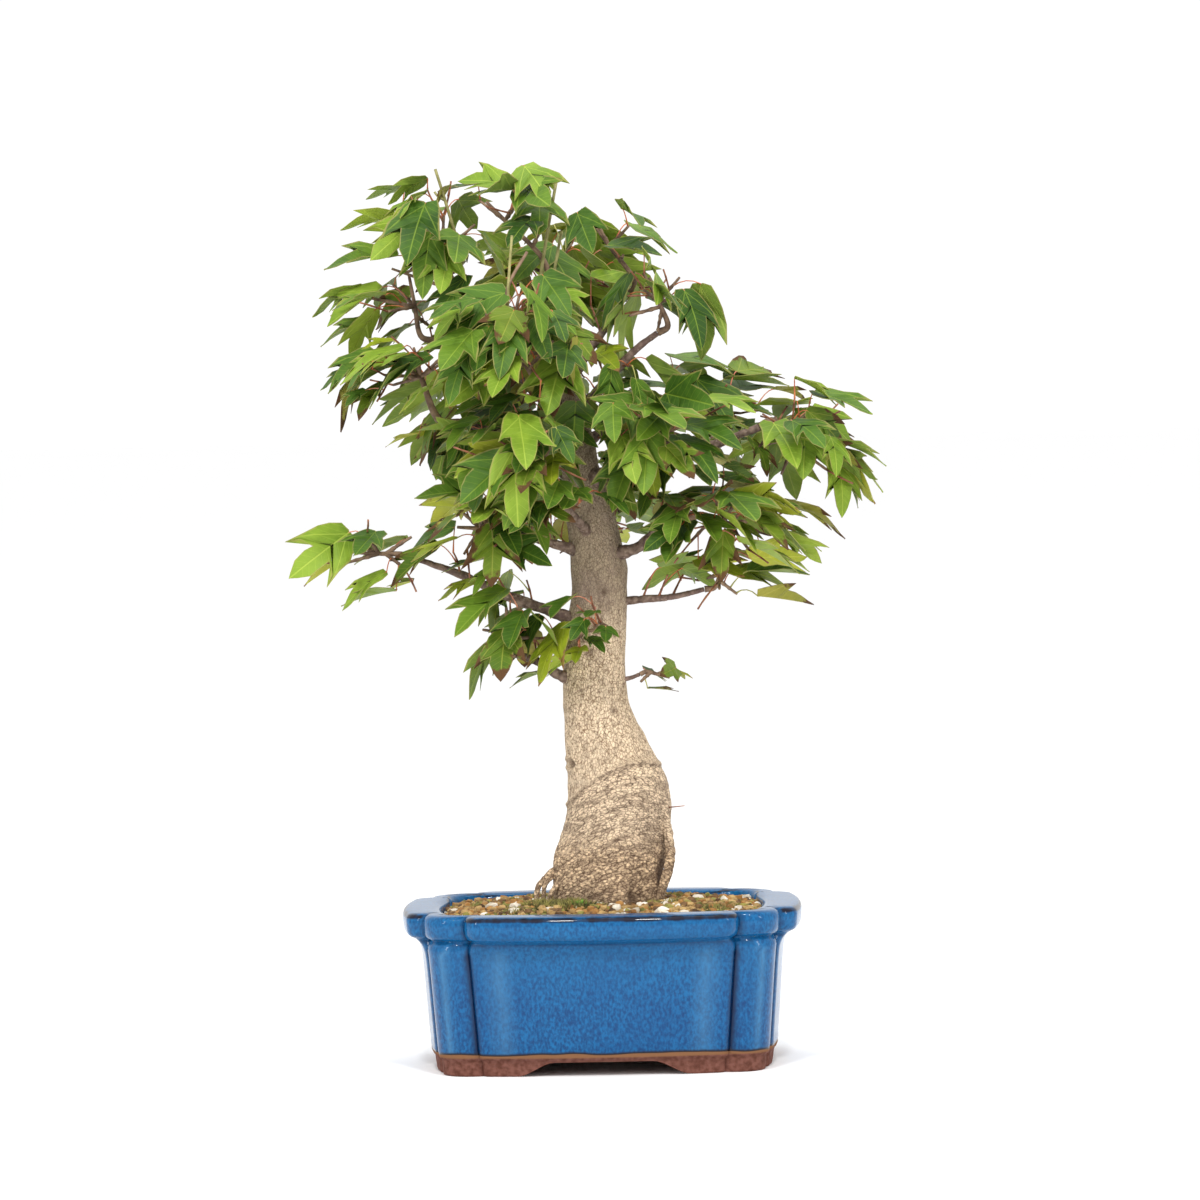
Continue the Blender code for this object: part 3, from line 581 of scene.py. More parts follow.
def within_pot(x, y, margin):
    """Whether a point of the soil lies inside the pot's wall."""
    reach_x, reach_y = POT_HALF_X - SOIL_INSET - margin, POT_HALF_Y - SOIL_INSET - margin
    corner_in, corner_radius = SOIL_CORNER
    corner_x, corner_y = max(0.0, abs(x) - reach_x + corner_in), max(0.0, abs(y) - reach_y + corner_in)
    bow_x = SIDE_BOW * (1 - (y / reach_y) ** 2)
    bow_y = FRONT_BOW * (1 - (x / reach_x) ** 2)
    inside = abs(x) < reach_x + bow_x and abs(y) < reach_y + bow_y
    return inside and math.hypot(corner_x, corner_y) < corner_radius


def from_trunk(x, y):
    """How far out from the trunk's foot a point lies, 1 at the foot's edge."""
    foot_x, foot_y, half_x, half_y = TRUNK_FOOT
    return math.hypot((x - foot_x) / half_x, (y - foot_y) / half_y)


grain_shapes = []
rng = random.Random(GRAIN_SEED)
for number in range(GRAIN_SHAPES):
    bpy.ops.object.select_all(action="DESELECT")
    bpy.ops.mesh.primitive_cube_add(size=1.0)
    grain = bpy.context.object
    grain.name = f"grain_{number}"
    bpy.ops.object.mode_set(mode="EDIT")
    bpy.ops.mesh.subdivide(number_cuts=1)
    bpy.ops.transform.tosphere(value=GRAIN_ROUNDNESS)
    bpy.ops.object.mode_set(mode="OBJECT")
    for vertex in grain.data.vertices:
        vertex.co *= 1.0 + rng.uniform(-GRAIN_UNEVENNESS, GRAIN_UNEVENNESS)
    bpy.ops.object.shade_smooth_by_angle(angle=math.radians(GRAIN_EDGE_ANGLE))
    for material, _ in GRAIN_FINISHES:
        grain.data.materials.append(material)
    grain_shapes.append(grain)


def grain_at(x, y, lift, size, slot):
    """One grain lying on the soil."""
    spin = Matrix.Rotation(rng.uniform(0, 2 * math.pi), 4, "Z")
    turn = spin @ Matrix.Rotation(rng.uniform(0, math.pi), 4, "X")
    length = size * rng.uniform(*GRAIN_LENGTHS)
    width = size * rng.uniform(*GRAIN_WIDTHS)
    girth = Matrix.Scale(MM, 4) @ Matrix.Diagonal((length, width, size * GRAIN_HEIGHT, 1.0))
    at = Vector((x, y, soil_height(x, y) + lift)) * MM
    return copied(rng.choice(grain_shapes), Matrix.Translation(at) @ turn @ girth, slot)


grains = []
for spacing, layer_lift in GRAIN_LAYERS:
    steps_x, steps_y = (int(reach / spacing) for reach in GRAIN_REACH)
    for i in range(-steps_x, steps_x + 1):
        for j in range(-steps_y, steps_y + 1):
            x = (i + (j % 2) * 0.5 + rng.uniform(-GRAIN_SCATTER, GRAIN_SCATTER)) * spacing
            y = (j + rng.uniform(-GRAIN_SCATTER, GRAIN_SCATTER)) * spacing
            if not within_pot(x, y, GRAIN_MARGIN) or from_trunk(x, y) < 1.0:
                continue
            slot = rng.choices(range(len(GRAIN_FINISHES)), [share for _, share in GRAIN_FINISHES])[0]
            in_front = from_trunk(x, y) < NEAR_TRUNK and y < 0 and x > MOSS_END
            if in_front and rng.random() < PUMICE_CHANCE:
                slot = PUMICE
            size = rng.uniform(*(PUMICE_SIZES if slot == PUMICE else GRAIN_SIZES))
            grains.append(grain_at(x, y, layer_lift + rng.uniform(*GRAIN_LIFT), size, slot))
foot_lift, foot_in = BED_FOOT
bed_rows = [[(x, y, FLOOR_TOP + foot_lift) for x, y in plan_outline(SOIL_INSET + foot_in, INNER_CORNER)]]
edge = plan_outline(SOIL_INSET - BED_INTO_WALL, INNER_CORNER)
for scale in BED_SCALES:
    row = [(x * scale, y * scale) for x, y in edge]
    bed_rows.append([(x, y, soil_height(x, y) - BED_DEPTH) for x, y in row])
bed = rolled_sheet("soil_bed", bed_rows)
bed.data.materials.append(earth.material)
soil_grains = joined("soil_grains", [bed, *grains])
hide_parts("soil")
for grain in grain_shapes:
    bpy.data.objects.remove(grain)
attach(soil_grains, "root")


# The moss: short olive tufts that grow upright from the soil and creep round the trunk's foot, thickest
# at its front left, with one bright green tuft among them.
MOSS_TUFTS = (
    # middle x and y, radius, how many blades, the tallest
    (-16.0, -28.0, 10.0, 520, 6.5),
    (-29.0, -23.0, 10.0, 420, 6.0),
    (-4.0, -29.0, 6.0, 160, 4.2),
    (-40.0, -38.0, 9.0, 220, 3.6),
    (26.0, -22.0, 5.0, 90, 4.0),
    (36.0, -14.0, 5.0, 80, 4.4),
    (56.0, -34.0, 9.0, 200, 3.6),
    (64.0, -16.0, 6.0, 110, 3.6),
    (36.0, 26.0, 8.0, 150, 3.6),
    (-30.0, 30.0, 10.0, 240, 4.0),
    (-62.0, 10.0, 7.0, 130, 3.6),
)
BRIGHT_TUFT = (-11.0, -31.0, 2.2, 45, 6.5)
MOSS_RADII = (0.42, 0.30, 0.05)
MOSS_HEIGHTS = (0.5, 1.0)  # of the tallest, in a tuft's middle
MOSS_FALL = 0.4  # how much lower it is at the tuft's edge
MOSS_KINK = 0.6
MOSS_MARGIN = 2.0
MOSS_LEAN = 0.4
MOSS_SUNK = 0.8
STRAND_WELD = 0.002 * MM


def strands(name, lines, sides, finishes):
    """Tapering strands made in one go: each line is its points, its radii and its material slot."""
    curve = bpy.data.curves.new(name, "CURVE")
    curve.dimensions = "3D"
    curve.bevel_depth = 1.0 * MM
    curve.bevel_resolution = (sides - 4) // 2
    curve.use_fill_caps = True
    for finish in finishes:
        curve.materials.append(finish)
    for points, radii, slot in lines:
        spline = curve.splines.new("POLY")
        spline.points.add(len(points) - 1)
        spline.material_index = slot
        spline.use_smooth = True
        for knot, point, radius in zip(spline.points, points, radii):
            knot.co = (*point, 1.0)
            knot.radius = radius
    item = bpy.data.objects.new(name, curve)
    bpy.context.scene.collection.objects.link(item)
    bpy.ops.object.select_all(action="DESELECT")
    item.select_set(True)
    bpy.context.view_layer.objects.active = item
    bpy.ops.object.convert(target="MESH")
    item = bpy.context.object
    bpy.ops.object.mode_set(mode="EDIT")
    bpy.ops.mesh.select_all(action="SELECT")
    bpy.ops.mesh.remove_doubles(threshold=STRAND_WELD)
    bpy.ops.object.mode_set(mode="OBJECT")
    return item


def moss_finish(name, dark, light):
    """Dull, clouded green."""
    finish = Finish(name, Roughness=0.85)
    finish.wear("Base Color", finish.mix(finish.clouds(2.5, 2.0).ramp(0.3, 0.7), dark, light))
    return finish.material


moss_lines = []
for slot, tufts in ((0, MOSS_TUFTS), (1, (BRIGHT_TUFT,))):
    for middle_x, middle_y, radius, count, tallest in tufts:
        for _ in range(count):
            turn, reach = rng.uniform(0, 2 * math.pi), radius * math.sqrt(rng.random())
            x, y = middle_x + reach * math.cos(turn), middle_y + reach * math.sin(turn)
            if not within_pot(x, y, MOSS_MARGIN):
                continue
            height = tallest * rng.uniform(*MOSS_HEIGHTS) * (1.0 - MOSS_FALL * reach / radius)
            foot = Vector((x, y, soil_height(x, y) - MOSS_SUNK)) * MM
            lean = Vector((rng.gauss(0, MOSS_LEAN), rng.gauss(0, MOSS_LEAN), 1.0)) * height * MM
            moss_lines.append(([foot, foot + lean * MOSS_KINK, foot + lean], MOSS_RADII, slot))
moss = strands("moss_tufts", moss_lines, 4, (
    moss_finish("olive_moss", (0.050, 0.048, 0.010), (0.300, 0.260, 0.065)),
    moss_finish("bright_moss", (0.090, 0.220, 0.020), (0.220, 0.420, 0.050)),
))
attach(moss, "root")


# The trunk: living maple wood under tan bark, rooted in the soil. Below the old graft its bark is brown,
# wrinkled in arches and dotted with pale pores; above, it is smoother and finely fissured. Bare old roots
# run down from the foot into the soil.
TRUNK = (
    # height, lean to the right, lean to the back, half width
    (GROUND, 2.4, 0.0, 27.0),
    (95.0, 3.3, 0.0, 27.0),
    (106.0, 4.8, 0.0, 27.0),
    (116.0, 7.4, 0.0, 26.4),
    (127.0, 9.7, 0.0, 25.8),
    (139.0, 8.8, 0.0, 25.5),
    (150.0, 6.4, 0.0, 23.3),
    (161.0, 3.3, 0.0, 20.4),
    (172.0, 0.7, 0.5, 17.8),
    (183.0, -1.2, 1.0, 16.2),
    (206.0, -0.8, 2.0, 15.2),
    (231.0, 1.4, 3.0, 13.9),
    (252.0, 1.5, 3.5, 14.2),
    (274.0, -2.0, 3.5, 12.0),
    (297.0, -7.0, 3.0, 9.8),
    (317.0, -7.9, 2.0, 7.6),
    (333.0, -9.1, 1.0, 6.3),
    (348.0, -12.9, 0.0, 5.9),
    (362.0, -17.2, 0.0, 4.4),
    (374.0, -19.8, 0.0, 2.8),
    (385.0, -21.1, 0.0, 1.7),
)
BELOW_SOIL = (78.0, 2.2, 0.0, 27.2)
TRUNK_SIDES = 144
STATION_STEPS = 18
TRUNK_DEPTH_SHARE = 0.92
ROOT_RIDGES = 5
ROOT_RIDGE_SHARE = 0.07
ROOT_RIDGE_TURN = 0.6
FLARE_TOP = 140.0
CALM_BELOW = 9.0  # the half width under which the relief grows weaker
GRAFT_LINE = (144.9, 0.67, -0.017)  # its height in the middle, its climb to the right and its bend
GRAFT_BLUR = 1.5
YOUNG_FROM = (-1.0, 2.0)  # how far above the line young bark starts, and over how much it takes over
FRONT = 4.0  # marks, crease and hollow are on the bark that lies in front of this
# The bark's relief comes from noises, given in waves to a millimetre, around and up the trunk.
LUMPS = ((0.045, 1.3), (0.13, 0.45))  # waves and height
# Grooves in the old bark and in the young: waves around and up, and their width.
WRINKLES = (0.07, 0.42, 0.16)
CRACKS = (0.34, 0.13, 0.10)
CRACKS_SHIFT = 7.0  # moves the cracks' noise off the wrinkles'
GROOVE_DEPTH = 0.40
# WRINKLE_SHADE and CRACK_SHADE set the painted shade in the grooves.
WRINKLE_SHADE = 0.7  # how dark the grooves are, beside the deepest marks
CRACK_SHADE = 0.45
# The roll of bark along the graft: how far above the graft line it lies, its width and its height. Then the
# row of pits under it: how far above the line, their width, and how deep they are at least and where lumpy,
# which also sets their painted shade.
GRAFT_ROLL = (-0.4, 1.2, 1.0)
GRAFT_PITS = (-1.6, 0.9)
PIT_DEPTHS_AND_SHADE = (0.5, 1.8)
OLD_SWELL = (0.7, 18.0)  # how far the old bark stands out, and over how much it fades down the trunk
# The swelling low on the left: where it starts and over how much it grows, its middle height, half height
# and how far it stands out.
LEFT_SWELL = (8.0, 14.0, 101.0, 10.0, 1.8)
# Marks on the front: across, height, half size, how far the middle sinks, how far its rim swells.
# MARK_SHADE sets the width of the painted shade in a mark.
MARK_REACH = 4.0  # of a mark's half size, as are its rim's place and width, and the widths of its hollow
MARK_RIM = (1.2, 0.45)
MARK_SINK = 0.75
MARK_SHADE = 0.8
BARK_MARKS = (
    (-14.5, 150.0, 2.6, 2.4, 0.9),  # a dark knot on the graft
    (8.0, 176.5, 1.6, 0.9, 0.4),
    (-4.0, 205.6, 3.4, 0.9, 1.0),  # where a branch was pruned
    (4.0, 236.0, 2.2, 0.6, 0.7),
    (-8.0, 187.0, 1.3, 0.6, 0.3),
)
FOOT_CREASE = (15.6, 1.6, 2.2)  # its place across the front, half width and depth
CREASE_TOP = (99.0, -14.0)  # the height where it starts, and over how much it deepens
CREASE_SWAY = (0.15, 2.0)  # waves to a millimetre, and how far
# A hollow in front of the old root on the right: place across and height, half sizes, depth. Painted shade
# darkens it, by HOLLOW_SHADE.
HOLLOW = (30.0, 94.0, 2.8, 8.0, 1.4)
HOLLOW_SHADE = 1.8
ARC_MIDDLE = 14.0  # where the wrinkles that arch over the swollen foot are highest
ARC_BEND = 0.015
ROOT_SHARE = 0.8  # of the plain root's thickness, as the wrinkled bark stands out of it
ROOT_STEPS = 10
ROOT_SIDES = 16
ROOT_ROUGHNESS = 0.22
LIMB_WRINKLES = (0.10, 0.9, 0.12)  # waves around and along, width of the grooves
LIMB_LUMPS = ((0.30, 0.9), (0.09, 1.0))
# How dark a limb's grooves are is painted shade.
LIMB_GROOVE = (0.6, 0.7)  # depth beside the lumps' height, and how dark
COLLAR_LENGTH = 2.2  # of the swelling where a limb leaves its parent, in the limb's radii
ASKEW = Vector((0.3, 1.0, 0.1))  # a heading that no limb takes
# Exposed roots: route, radius at the trunk and at the soil.
ROOTS = (
    (((-18, -6, 101), (-24, -8, 96.5), (-29, -9, 92), (-32, -10, 88), (-33, -10.5, 78)), 2.8, 1.7),
    (((-22, -8, 96.5), (-26.5, -10, 92.5), (-28.5, -11, 89), (-29.5, -12, 78)), 2.0, 1.5),
    (
        (
            (24, -7, 128), (32, -9, 121), (34.2, -10, 111),
            (34.6, -10.5, 101), (31.6, -10.5, 91), (28, -10, 78),
        ),
        3.6, 3.0,
    ),
    (((-20, -12, 92), (-25, -17, 87), (-28, -19, 79)), 1.8, 1.2),
)
# The bark's colours, in its grooves and on its ridges: young bark over the graft, bark in the crown, the
# arched and the dotted bark of the foot, then the painted shade in deep grooves, and bark that the soil
# keeps damp.
YOUNG_GROOVE = (0.140, 0.072, 0.032)
YOUNG_RIDGE = (0.790, 0.620, 0.430)
YOUNG_BLOTCH = (0.500, 0.400, 0.290)
CROWN_GROOVE = (0.140, 0.092, 0.058)
CROWN_RIDGE = (0.500, 0.390, 0.265)
CROWN_BLOTCH = (0.270, 0.190, 0.160)
ARCHED_GROOVE = (0.085, 0.048, 0.028)
ARCHED_RIDGE = (0.820, 0.630, 0.430)
DOTTED_BROWN = (0.120, 0.066, 0.038)
PALE_PORE = (0.900, 0.650, 0.400)
SHADED_GROOVE = (0.075, 0.038, 0.022)
DAMP_BARK = (0.080, 0.048, 0.026)


def smooth_route(points, steps):
    """A route through the points, with the spans between them bent like a growing limb."""
    padded = [2 * points[0] - points[1], *points, 2 * points[-1] - points[-2]]
    route = []
    for before, start, end, after in zip(padded, padded[1:], padded[2:], padded[3:]):
        for step in range(steps):
            t = step / steps
            route.append(
                0.5 * (2 * start + (end - before) * t
                       + (2 * before - 5 * start + 4 * end - after) * t**2
                       + (3 * start - before - 3 * end + after) * t**3)
            )
    return [*route, points[-1]]


def graft_height(x):
    """The height of the old graft line, which climbs to the right."""
    middle, climb, bend = GRAFT_LINE
    return middle + climb * x + bend * x * x


def groove_at(x, y, z, width):
    """A groove wherever a noise passes through nought, 1 at its bottom."""
    return bell(noise.noise(Vector((x, y, z))), width)


def lumpiness(spot, lumps):
    """The sum of some noises at a spot."""
    return sum(noise.noise(spot * waves) * height for waves, height in lumps)


def trunk_relief(x, y, z):
    """How far the trunk's bark stands out of its plain form, and how deep in a groove it lies, which also
    sets its painted shade.
    """
    spot = Vector((x, y, z))
    above = z - graft_height(x)
    old = 1.0 / (1.0 + math.exp(above / GRAFT_BLUR))
    arc = z + ARC_BEND * (x - ARC_MIDDLE) ** 2
    around, up, width = WRINKLES
    wrinkles = groove_at(x * around, y * around, arc * up, width)
    around, up, width = CRACKS
    cracks = groove_at(x * around, y * around, z * up + CRACKS_SHIFT, width)
    groove = old * wrinkles * WRINKLE_SHADE + (1.0 - old) * cracks * CRACK_SHADE
    out = lumpiness(spot, LUMPS) - groove * GROOVE_DEPTH
    height, width, swell = GRAFT_ROLL
    out += swell * bell(above - height, width)
    swell, fade = OLD_SWELL
    out += swell * old * math.exp(min(0.0, above) / fade)
    start, span, height, half, swell = LEFT_SWELL
    out += swell * portion(-x, start, span) * bell(z - height, half)
    height, width = GRAFT_PITS
    least, more = PIT_DEPTHS_AND_SHADE
    pits = bell(above - height, width) * (least + max(0.0, noise.noise(spot * 0.5)) * more)
    # The pits' darkness is painted shade.
    groove = max(groove, min(1.0, pits))
    if y < FRONT:
        for mark_x, mark_z, half, sink, swell in BARK_MARKS:
            away = math.hypot(x - mark_x, z - mark_z) / half
            if away < MARK_REACH:
                rim, rim_width = MARK_RIM
                out += swell * bell(away - rim, rim_width) - sink * bell(away, MARK_SINK)
                groove = max(groove, bell(away, MARK_SHADE))
        crease_x, width, depth = FOOT_CREASE
        waves, sway = CREASE_SWAY
        crease = portion(z, *CREASE_TOP) * bell(x - crease_x + noise.noise(spot * waves) * sway, width)
        out -= depth * crease
        hollow_x, hollow_z, half_x, half_z, depth = HOLLOW
        hollow = bell(x - hollow_x, half_x) * bell(z - hollow_z, half_z)
        out -= depth * hollow
        # The crease and the hollow get painted shade, as the marks do.
        groove = max(groove, crease, min(1.0, hollow * HOLLOW_SHADE))
    return out, groove


def above_graft(point):
    """1 above the graft line, 0 below it."""
    return portion(point.z - graft_height(point.x), *YOUNG_FROM)


def rounded(point):
    """A point by which it can be looked up."""
    return tuple(round(value, 2) for value in point)


def barked(name, rows, groove_shades):
    """A limb rolled from its rows, with notes of how deep in a groove its bark is, which sets the painted
    shade there, and how young it is.
    """
    piece = rolled_sheet(name, rows)
    known = {}
    for row, shades in zip(rows, groove_shades):
        for point, depth in zip(row, shades):
            known[rounded(point)] = depth
    places = [vertex.co / MM for vertex in piece.data.vertices]
    shades = [known.get(rounded(place), 0.0) for place in places]
    noted(piece, "groove", shades)
    noted(piece, "young", [above_graft(place) for place in places])
    return piece


trunk_rows, trunk_groove_shades = [], []
stations = smooth_route([Vector(station) for station in (BELOW_SOIL, *TRUNK)], STATION_STEPS)
for height, lean_x, lean_y, half_width in stations:
    flare = max(0.0, (FLARE_TOP - height) / (FLARE_TOP - GROUND))
    calm = min(1.0, half_width / CALM_BELOW)
    row, shades = [], []
    for i in range(TRUNK_SIDES):
        turn = 2 * math.pi * i / TRUNK_SIDES
        ridge = math.cos(ROOT_RIDGES * turn + ROOT_RIDGE_TURN)
        radius = half_width * (1.0 + ROOT_RIDGE_SHARE * flare * ridge)
        x = lean_x + radius * math.cos(turn)
        y = lean_y + radius * TRUNK_DEPTH_SHARE * math.sin(turn)
        out, groove = trunk_relief(x, y, height)
        out *= calm
        row.append((x + out * math.cos(turn), y + out * math.sin(turn), height))
        shades.append(groove)
    trunk_rows.append(row)
    trunk_groove_shades.append(shades)
trunk = barked("trunk_bark", trunk_rows, trunk_groove_shades)


def limb_tube(name, points, radii, sides, roughness, swell=0.0):
    """A limb's bark: a tube along the route, wrinkled, and swollen where it leaves its parent."""
    side = (points[1] - points[0]).cross(ASKEW).normalized()
    around, onward, width = LIMB_WRINKLES
    depth, shade = LIMB_GROOVE
    rows, groove_shades = [], []
    run = 0.0
    for i, (point, radius) in enumerate(zip(points, radii)):
        ahead = points[min(i + 1, len(points) - 1)] - points[max(i - 1, 0)]
        ahead.normalize()
        side = (side - ahead * side.dot(ahead)).normalized()
        across = ahead.cross(side)
        run += (point - points[i - 1]).length if i else 0.0
        collar = 1.0 + swell * bell(run, radii[0] * COLLAR_LENGTH)
        row, shades = [], []
        for step in range(sides):
            turn = 2 * math.pi * step / sides
            out = side * math.cos(turn) + across * math.sin(turn)
            spot = point + out * radius
            wrinkle = groove_at(spot.x * around, spot.y * around, run * onward, width)
            lump = lumpiness(spot, LIMB_LUMPS)
            row.append(point + out * radius * collar * (1.0 + roughness * (lump - wrinkle * depth)))
            # The wrinkles' painted shade.
            shades.append(wrinkle * shade)
        rows.append(row)
        groove_shades.append(shades)
    return barked(name, rows, groove_shades)


def tapered(first, last, count, share):
    """So many radii from the first to the last, all thinned to a share."""
    return [(first + (last - first) * i / (count - 1)) * share for i in range(count)]


roots = []
for number, (points, first, last) in enumerate(ROOTS, 1):
    route = smooth_route([Vector(point) for point in points], ROOT_STEPS)
    radii = tapered(first, last, len(route), ROOT_SHARE)
    roots.append(limb_tube(f"root_{number}", route, radii, ROOT_SIDES, ROOT_ROUGHNESS))
trunk = joined("trunk_bark", [trunk, *roots])

bark = Finish("maple_bark", IOR=1.4)
across, deep, up = (bark.axis(name) for name in "XYZ")
arc = up + (across - ARC_MIDDLE) * (across - ARC_MIDDLE) * ARC_BEND
sway = bark.clouds(30.0, 3.0)
line = up + (sway - 0.5) * 16.0
grain = bark.clouds(1.2, 4.0, (1.0, 1.0, 0.5), 0.6)
blotches = bark.clouds(9.0, 3.0)
network = bark.cracks(1.25, bark.point(across, deep, up * 0.6), 1.5).ramp(0.0, 0.15)
scales = bark.cracks(1.2, bark.point(across * 0.5, deep * 0.5, arc), 1.6).ramp(0.0, 0.17)
pores = bark.dots(1.9, (0.8, 0.8, 1.15)).ramp(0.52, 0.26)
young = bark.mix(network * 0.7 + grain.ramp(0.3, 0.7) * 0.4, YOUNG_GROOVE, YOUNG_RIDGE)
young = bark.mix(blotches.ramp(0.5, 0.8) * 0.4, young, YOUNG_BLOTCH)
upper = bark.mix(network * 0.5 + grain * 0.5, CROWN_GROOVE, CROWN_RIDGE)
upper = bark.mix(blotches.ramp(0.45, 0.75) * 0.45, upper, CROWN_BLOTCH)
arched = bark.mix(scales * 0.7 + grain.ramp(0.3, 0.7) * 0.4, ARCHED_GROOVE, ARCHED_RIDGE)
dotted = bark.mix(pores.most(scales * 0.45), DOTTED_BROWN, PALE_PORE)
old = bark.mix(line.ramp(122.0, 100.0) * 0.85, arched, dotted)
colour = bark.mix(bark.attribute("young"), old, young)
colour = bark.mix(line.ramp(200.0, 240.0), colour, upper)
# The groove note darkens the bark as painted shade in its grooves, pits, marks, crease and hollow.
groove = bark.attribute("groove")
colour = bark.mix(groove * 0.8, colour, SHADED_GROOVE)
damp = line.ramp(90.0, 80.0)
colour = bark.mix(damp * 0.45, colour, DAMP_BARK)
bark.wear("Base Color", colour)
bark.wear("Roughness", 0.78 + grain * 0.18)
bark.relief(network * 0.5 + scales * 0.5 + pores * 0.4 + grain * 0.4 - groove * 0.4, 0.40)
trunk.data.materials.clear()
trunk.data.materials.append(bark.material)
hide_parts("trunk")
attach(trunk, "root")


# The boughs: tapering limbs of the same wood under darker, knotted bark, each swollen where it grows out
# of the trunk and ending inside its foliage. Each has its route, its radius at the trunk and at its tip.
BOUGHS = {
    "bough_lower_left": (
        ((-2, 1, 190), (-19, -3, 194.5), (-29.5, -6, 201.5), (-40.5, -8, 205.5)), 4.2, 2.2),
    "bough_long_left": (
        ((-0.5, 2, 217), (-20.5, -1, 225.5), (-44, -4, 234.5), (-68, -5, 246), (-88, -5, 253.5)), 4.8, 2.0),
    "bough_left_low": (((0, 3, 254), (-22, -5, 260.5), (-37.5, -10, 265.5)), 4.0, 2.4),
    "bough_left_middle": (
        ((-6, 3, 296), (-21, -2, 305.5), (-35, -9, 311.5), (-51, -14, 317), (-65, -17, 321)), 5.6, 2.8),
    "bough_left_shoulder": (
        ((-8.5, 2, 329), (-30.5, 10, 340.5), (-52.5, 11, 352), (-78, 6, 362.5)), 4.2, 1.9),
    "bough_left_fork": (
        ((-13.5, 0, 346.5), (-30.5, 2, 352.5), (-38, 3, 363.5), (-54, 4, 378), (-65.5, 4, 389)), 4.3, 2.0),
    "bough_top_right": (((-11.5, 0, 342), (0, 3, 358), (9, 4, 370), (16, 4, 381)), 3.6, 1.7),
    "bough_right_shoulder": (((-8.5, 1, 324), (7.5, -4, 341), (21, -8, 355.5), (33, -9, 364.5)), 4.2, 2.0),
    "bough_right_middle": (((-5.5, 2, 290), (13, -10, 299), (25, -19, 308.5), (34, -24, 317.5)), 5.0, 2.5),
    "bough_right_long": (
        ((-2.5, 3, 276), (20.5, 4, 289.5), (42, 2, 300.5), (63, -1, 309), (83, -3, 316.5)), 5.6, 2.4),
    "bough_right_lower": (((1, 3, 253), (21, -5, 257.5), (32.5, -10, 267.5), (45.5, -14, 271.5)), 4.6, 2.4),
    "bough_right_low": (((1, 3, 229), (23, 0, 231.5), (38, -2, 232.5), (54, -3, 236)), 3.2, 1.7),
    "bough_front_upper": (((-8, 2, 311), (-16, -12, 322.5), (-22.5, -24, 333.5)), 3.6, 2.2),
    "bough_front_lower": (((-0.5, 3, 262), (-8.5, -16, 272), (-14.5, -28, 280.5)), 3.6, 2.2),
    "bough_back_top": (((-10.5, 1, 338), (-12, 18, 356.5), (-14, 34, 372.5)), 3.4, 1.8),
    "bough_back_left": (((-7, 3, 301), (-23, 18, 309.5), (-41, 34, 318.5)), 4.2, 2.2),
    "bough_back_right": (((-8, 3, 306), (7, 20, 318), (21.5, 37, 327.5)), 4.2, 2.2),
    "bough_back_low": (((0, 3, 258), (-0.5, 24, 267), (-1.5, 38, 274)), 3.8, 2.2),
    "sprig_right": (((0, 2, 189), (15, -2, 192), (21, -3, 194)), 1.7, 1.3),
    "sprig_front": (((1, 2, 222), (2, -13, 221), (3, -19, 220)), 1.7, 1.3),
}
BOUGH_STEPS = 2
BOUGH_SHARE = 0.74  # of the plain bough's thickness, as knots and wrinkles stand out of it
BARK_STEPS = 14
BOUGH_SIDES = 20
BOUGH_ROUGHNESS = 0.16
BOUGH_SWELL = 0.35
HIDDEN_SHARE = 0.6  # of the trunk's half width, for the part of a bough that lies inside the trunk
BOUGH_DARK = (0.085, 0.050, 0.036)
BOUGH_LIGHT = (0.255, 0.180, 0.135)
BOUGH_PATCH = (0.170, 0.105, 0.095)
BOUGH_NUB = (0.360, 0.270, 0.200)
SHADED_BOUGH_GROOVE = (0.045, 0.026, 0.018)


def place(point):
    """A table's point in metres."""
    return Vector(point) * MM


def limb_shape(bough):
    """A bough's route and the radius at each point of it, in metres."""
    points, first, last = bough
    route = smooth_route([place(point) for point in points], BOUGH_STEPS)
    return route, tapered(first, last, len(route), MM)


limb_bark = Finish("bough_bark", IOR=1.4)
streaks = limb_bark.clouds(1.6, 4.0)
patches = limb_bark.clouds(14.0, 2.0)
nubs = limb_bark.dots(2.4).ramp(0.30, 0.12)
limb_colour = limb_bark.mix(streaks.ramp(0.3, 0.7), BOUGH_DARK, BOUGH_LIGHT)
limb_colour = limb_bark.mix(patches.ramp(0.45, 0.7) * 0.6, limb_colour, BOUGH_PATCH)
limb_colour = limb_bark.mix(nubs * 0.5, limb_colour, BOUGH_NUB)
# Painted shade in the wrinkles' grooves.
limb_colour = limb_bark.mix(limb_bark.attribute("groove") * 0.7, limb_colour, SHADED_BOUGH_GROOVE)
limb_bark.wear("Base Color", limb_colour)
limb_bark.wear("Roughness", 0.66 + streaks * 0.24)
limb_bark.relief(streaks + nubs * 0.5, 0.30)
heights, _, _, half_widths = zip(*TRUNK)
bough_pieces = []
for name, (points, first, last) in BOUGHS.items():
    route = smooth_route([Vector(point) for point in points], BARK_STEPS)
    radii = tapered(first, last, len(route), BOUGH_SHARE)
    hidden = np.interp(points[0][2], heights, half_widths) * HIDDEN_SHARE
    first_out = next(i for i, point in enumerate(route) if (point - route[0]).length > hidden)
    shown = slice(first_out, None)
    bough_pieces.append(
        limb_tube(name, route[shown], radii[shown], BOUGH_SIDES, BOUGH_ROUGHNESS, BOUGH_SWELL)
    )
boughs = joined("bough_bark", bough_pieces)
boughs.data.materials.clear()
boughs.data.materials.append(limb_bark.material)
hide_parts(*BOUGHS)
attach(boughs, "root")


# The twigs: each mass of foliage hangs on a stem that carries its bough on and branches into twigs, and
# each twig into finer shoots, all of them young wood, smooth, reddish and swollen where leaves sit.
UP = Vector((0.0, 0.0, 1.0))
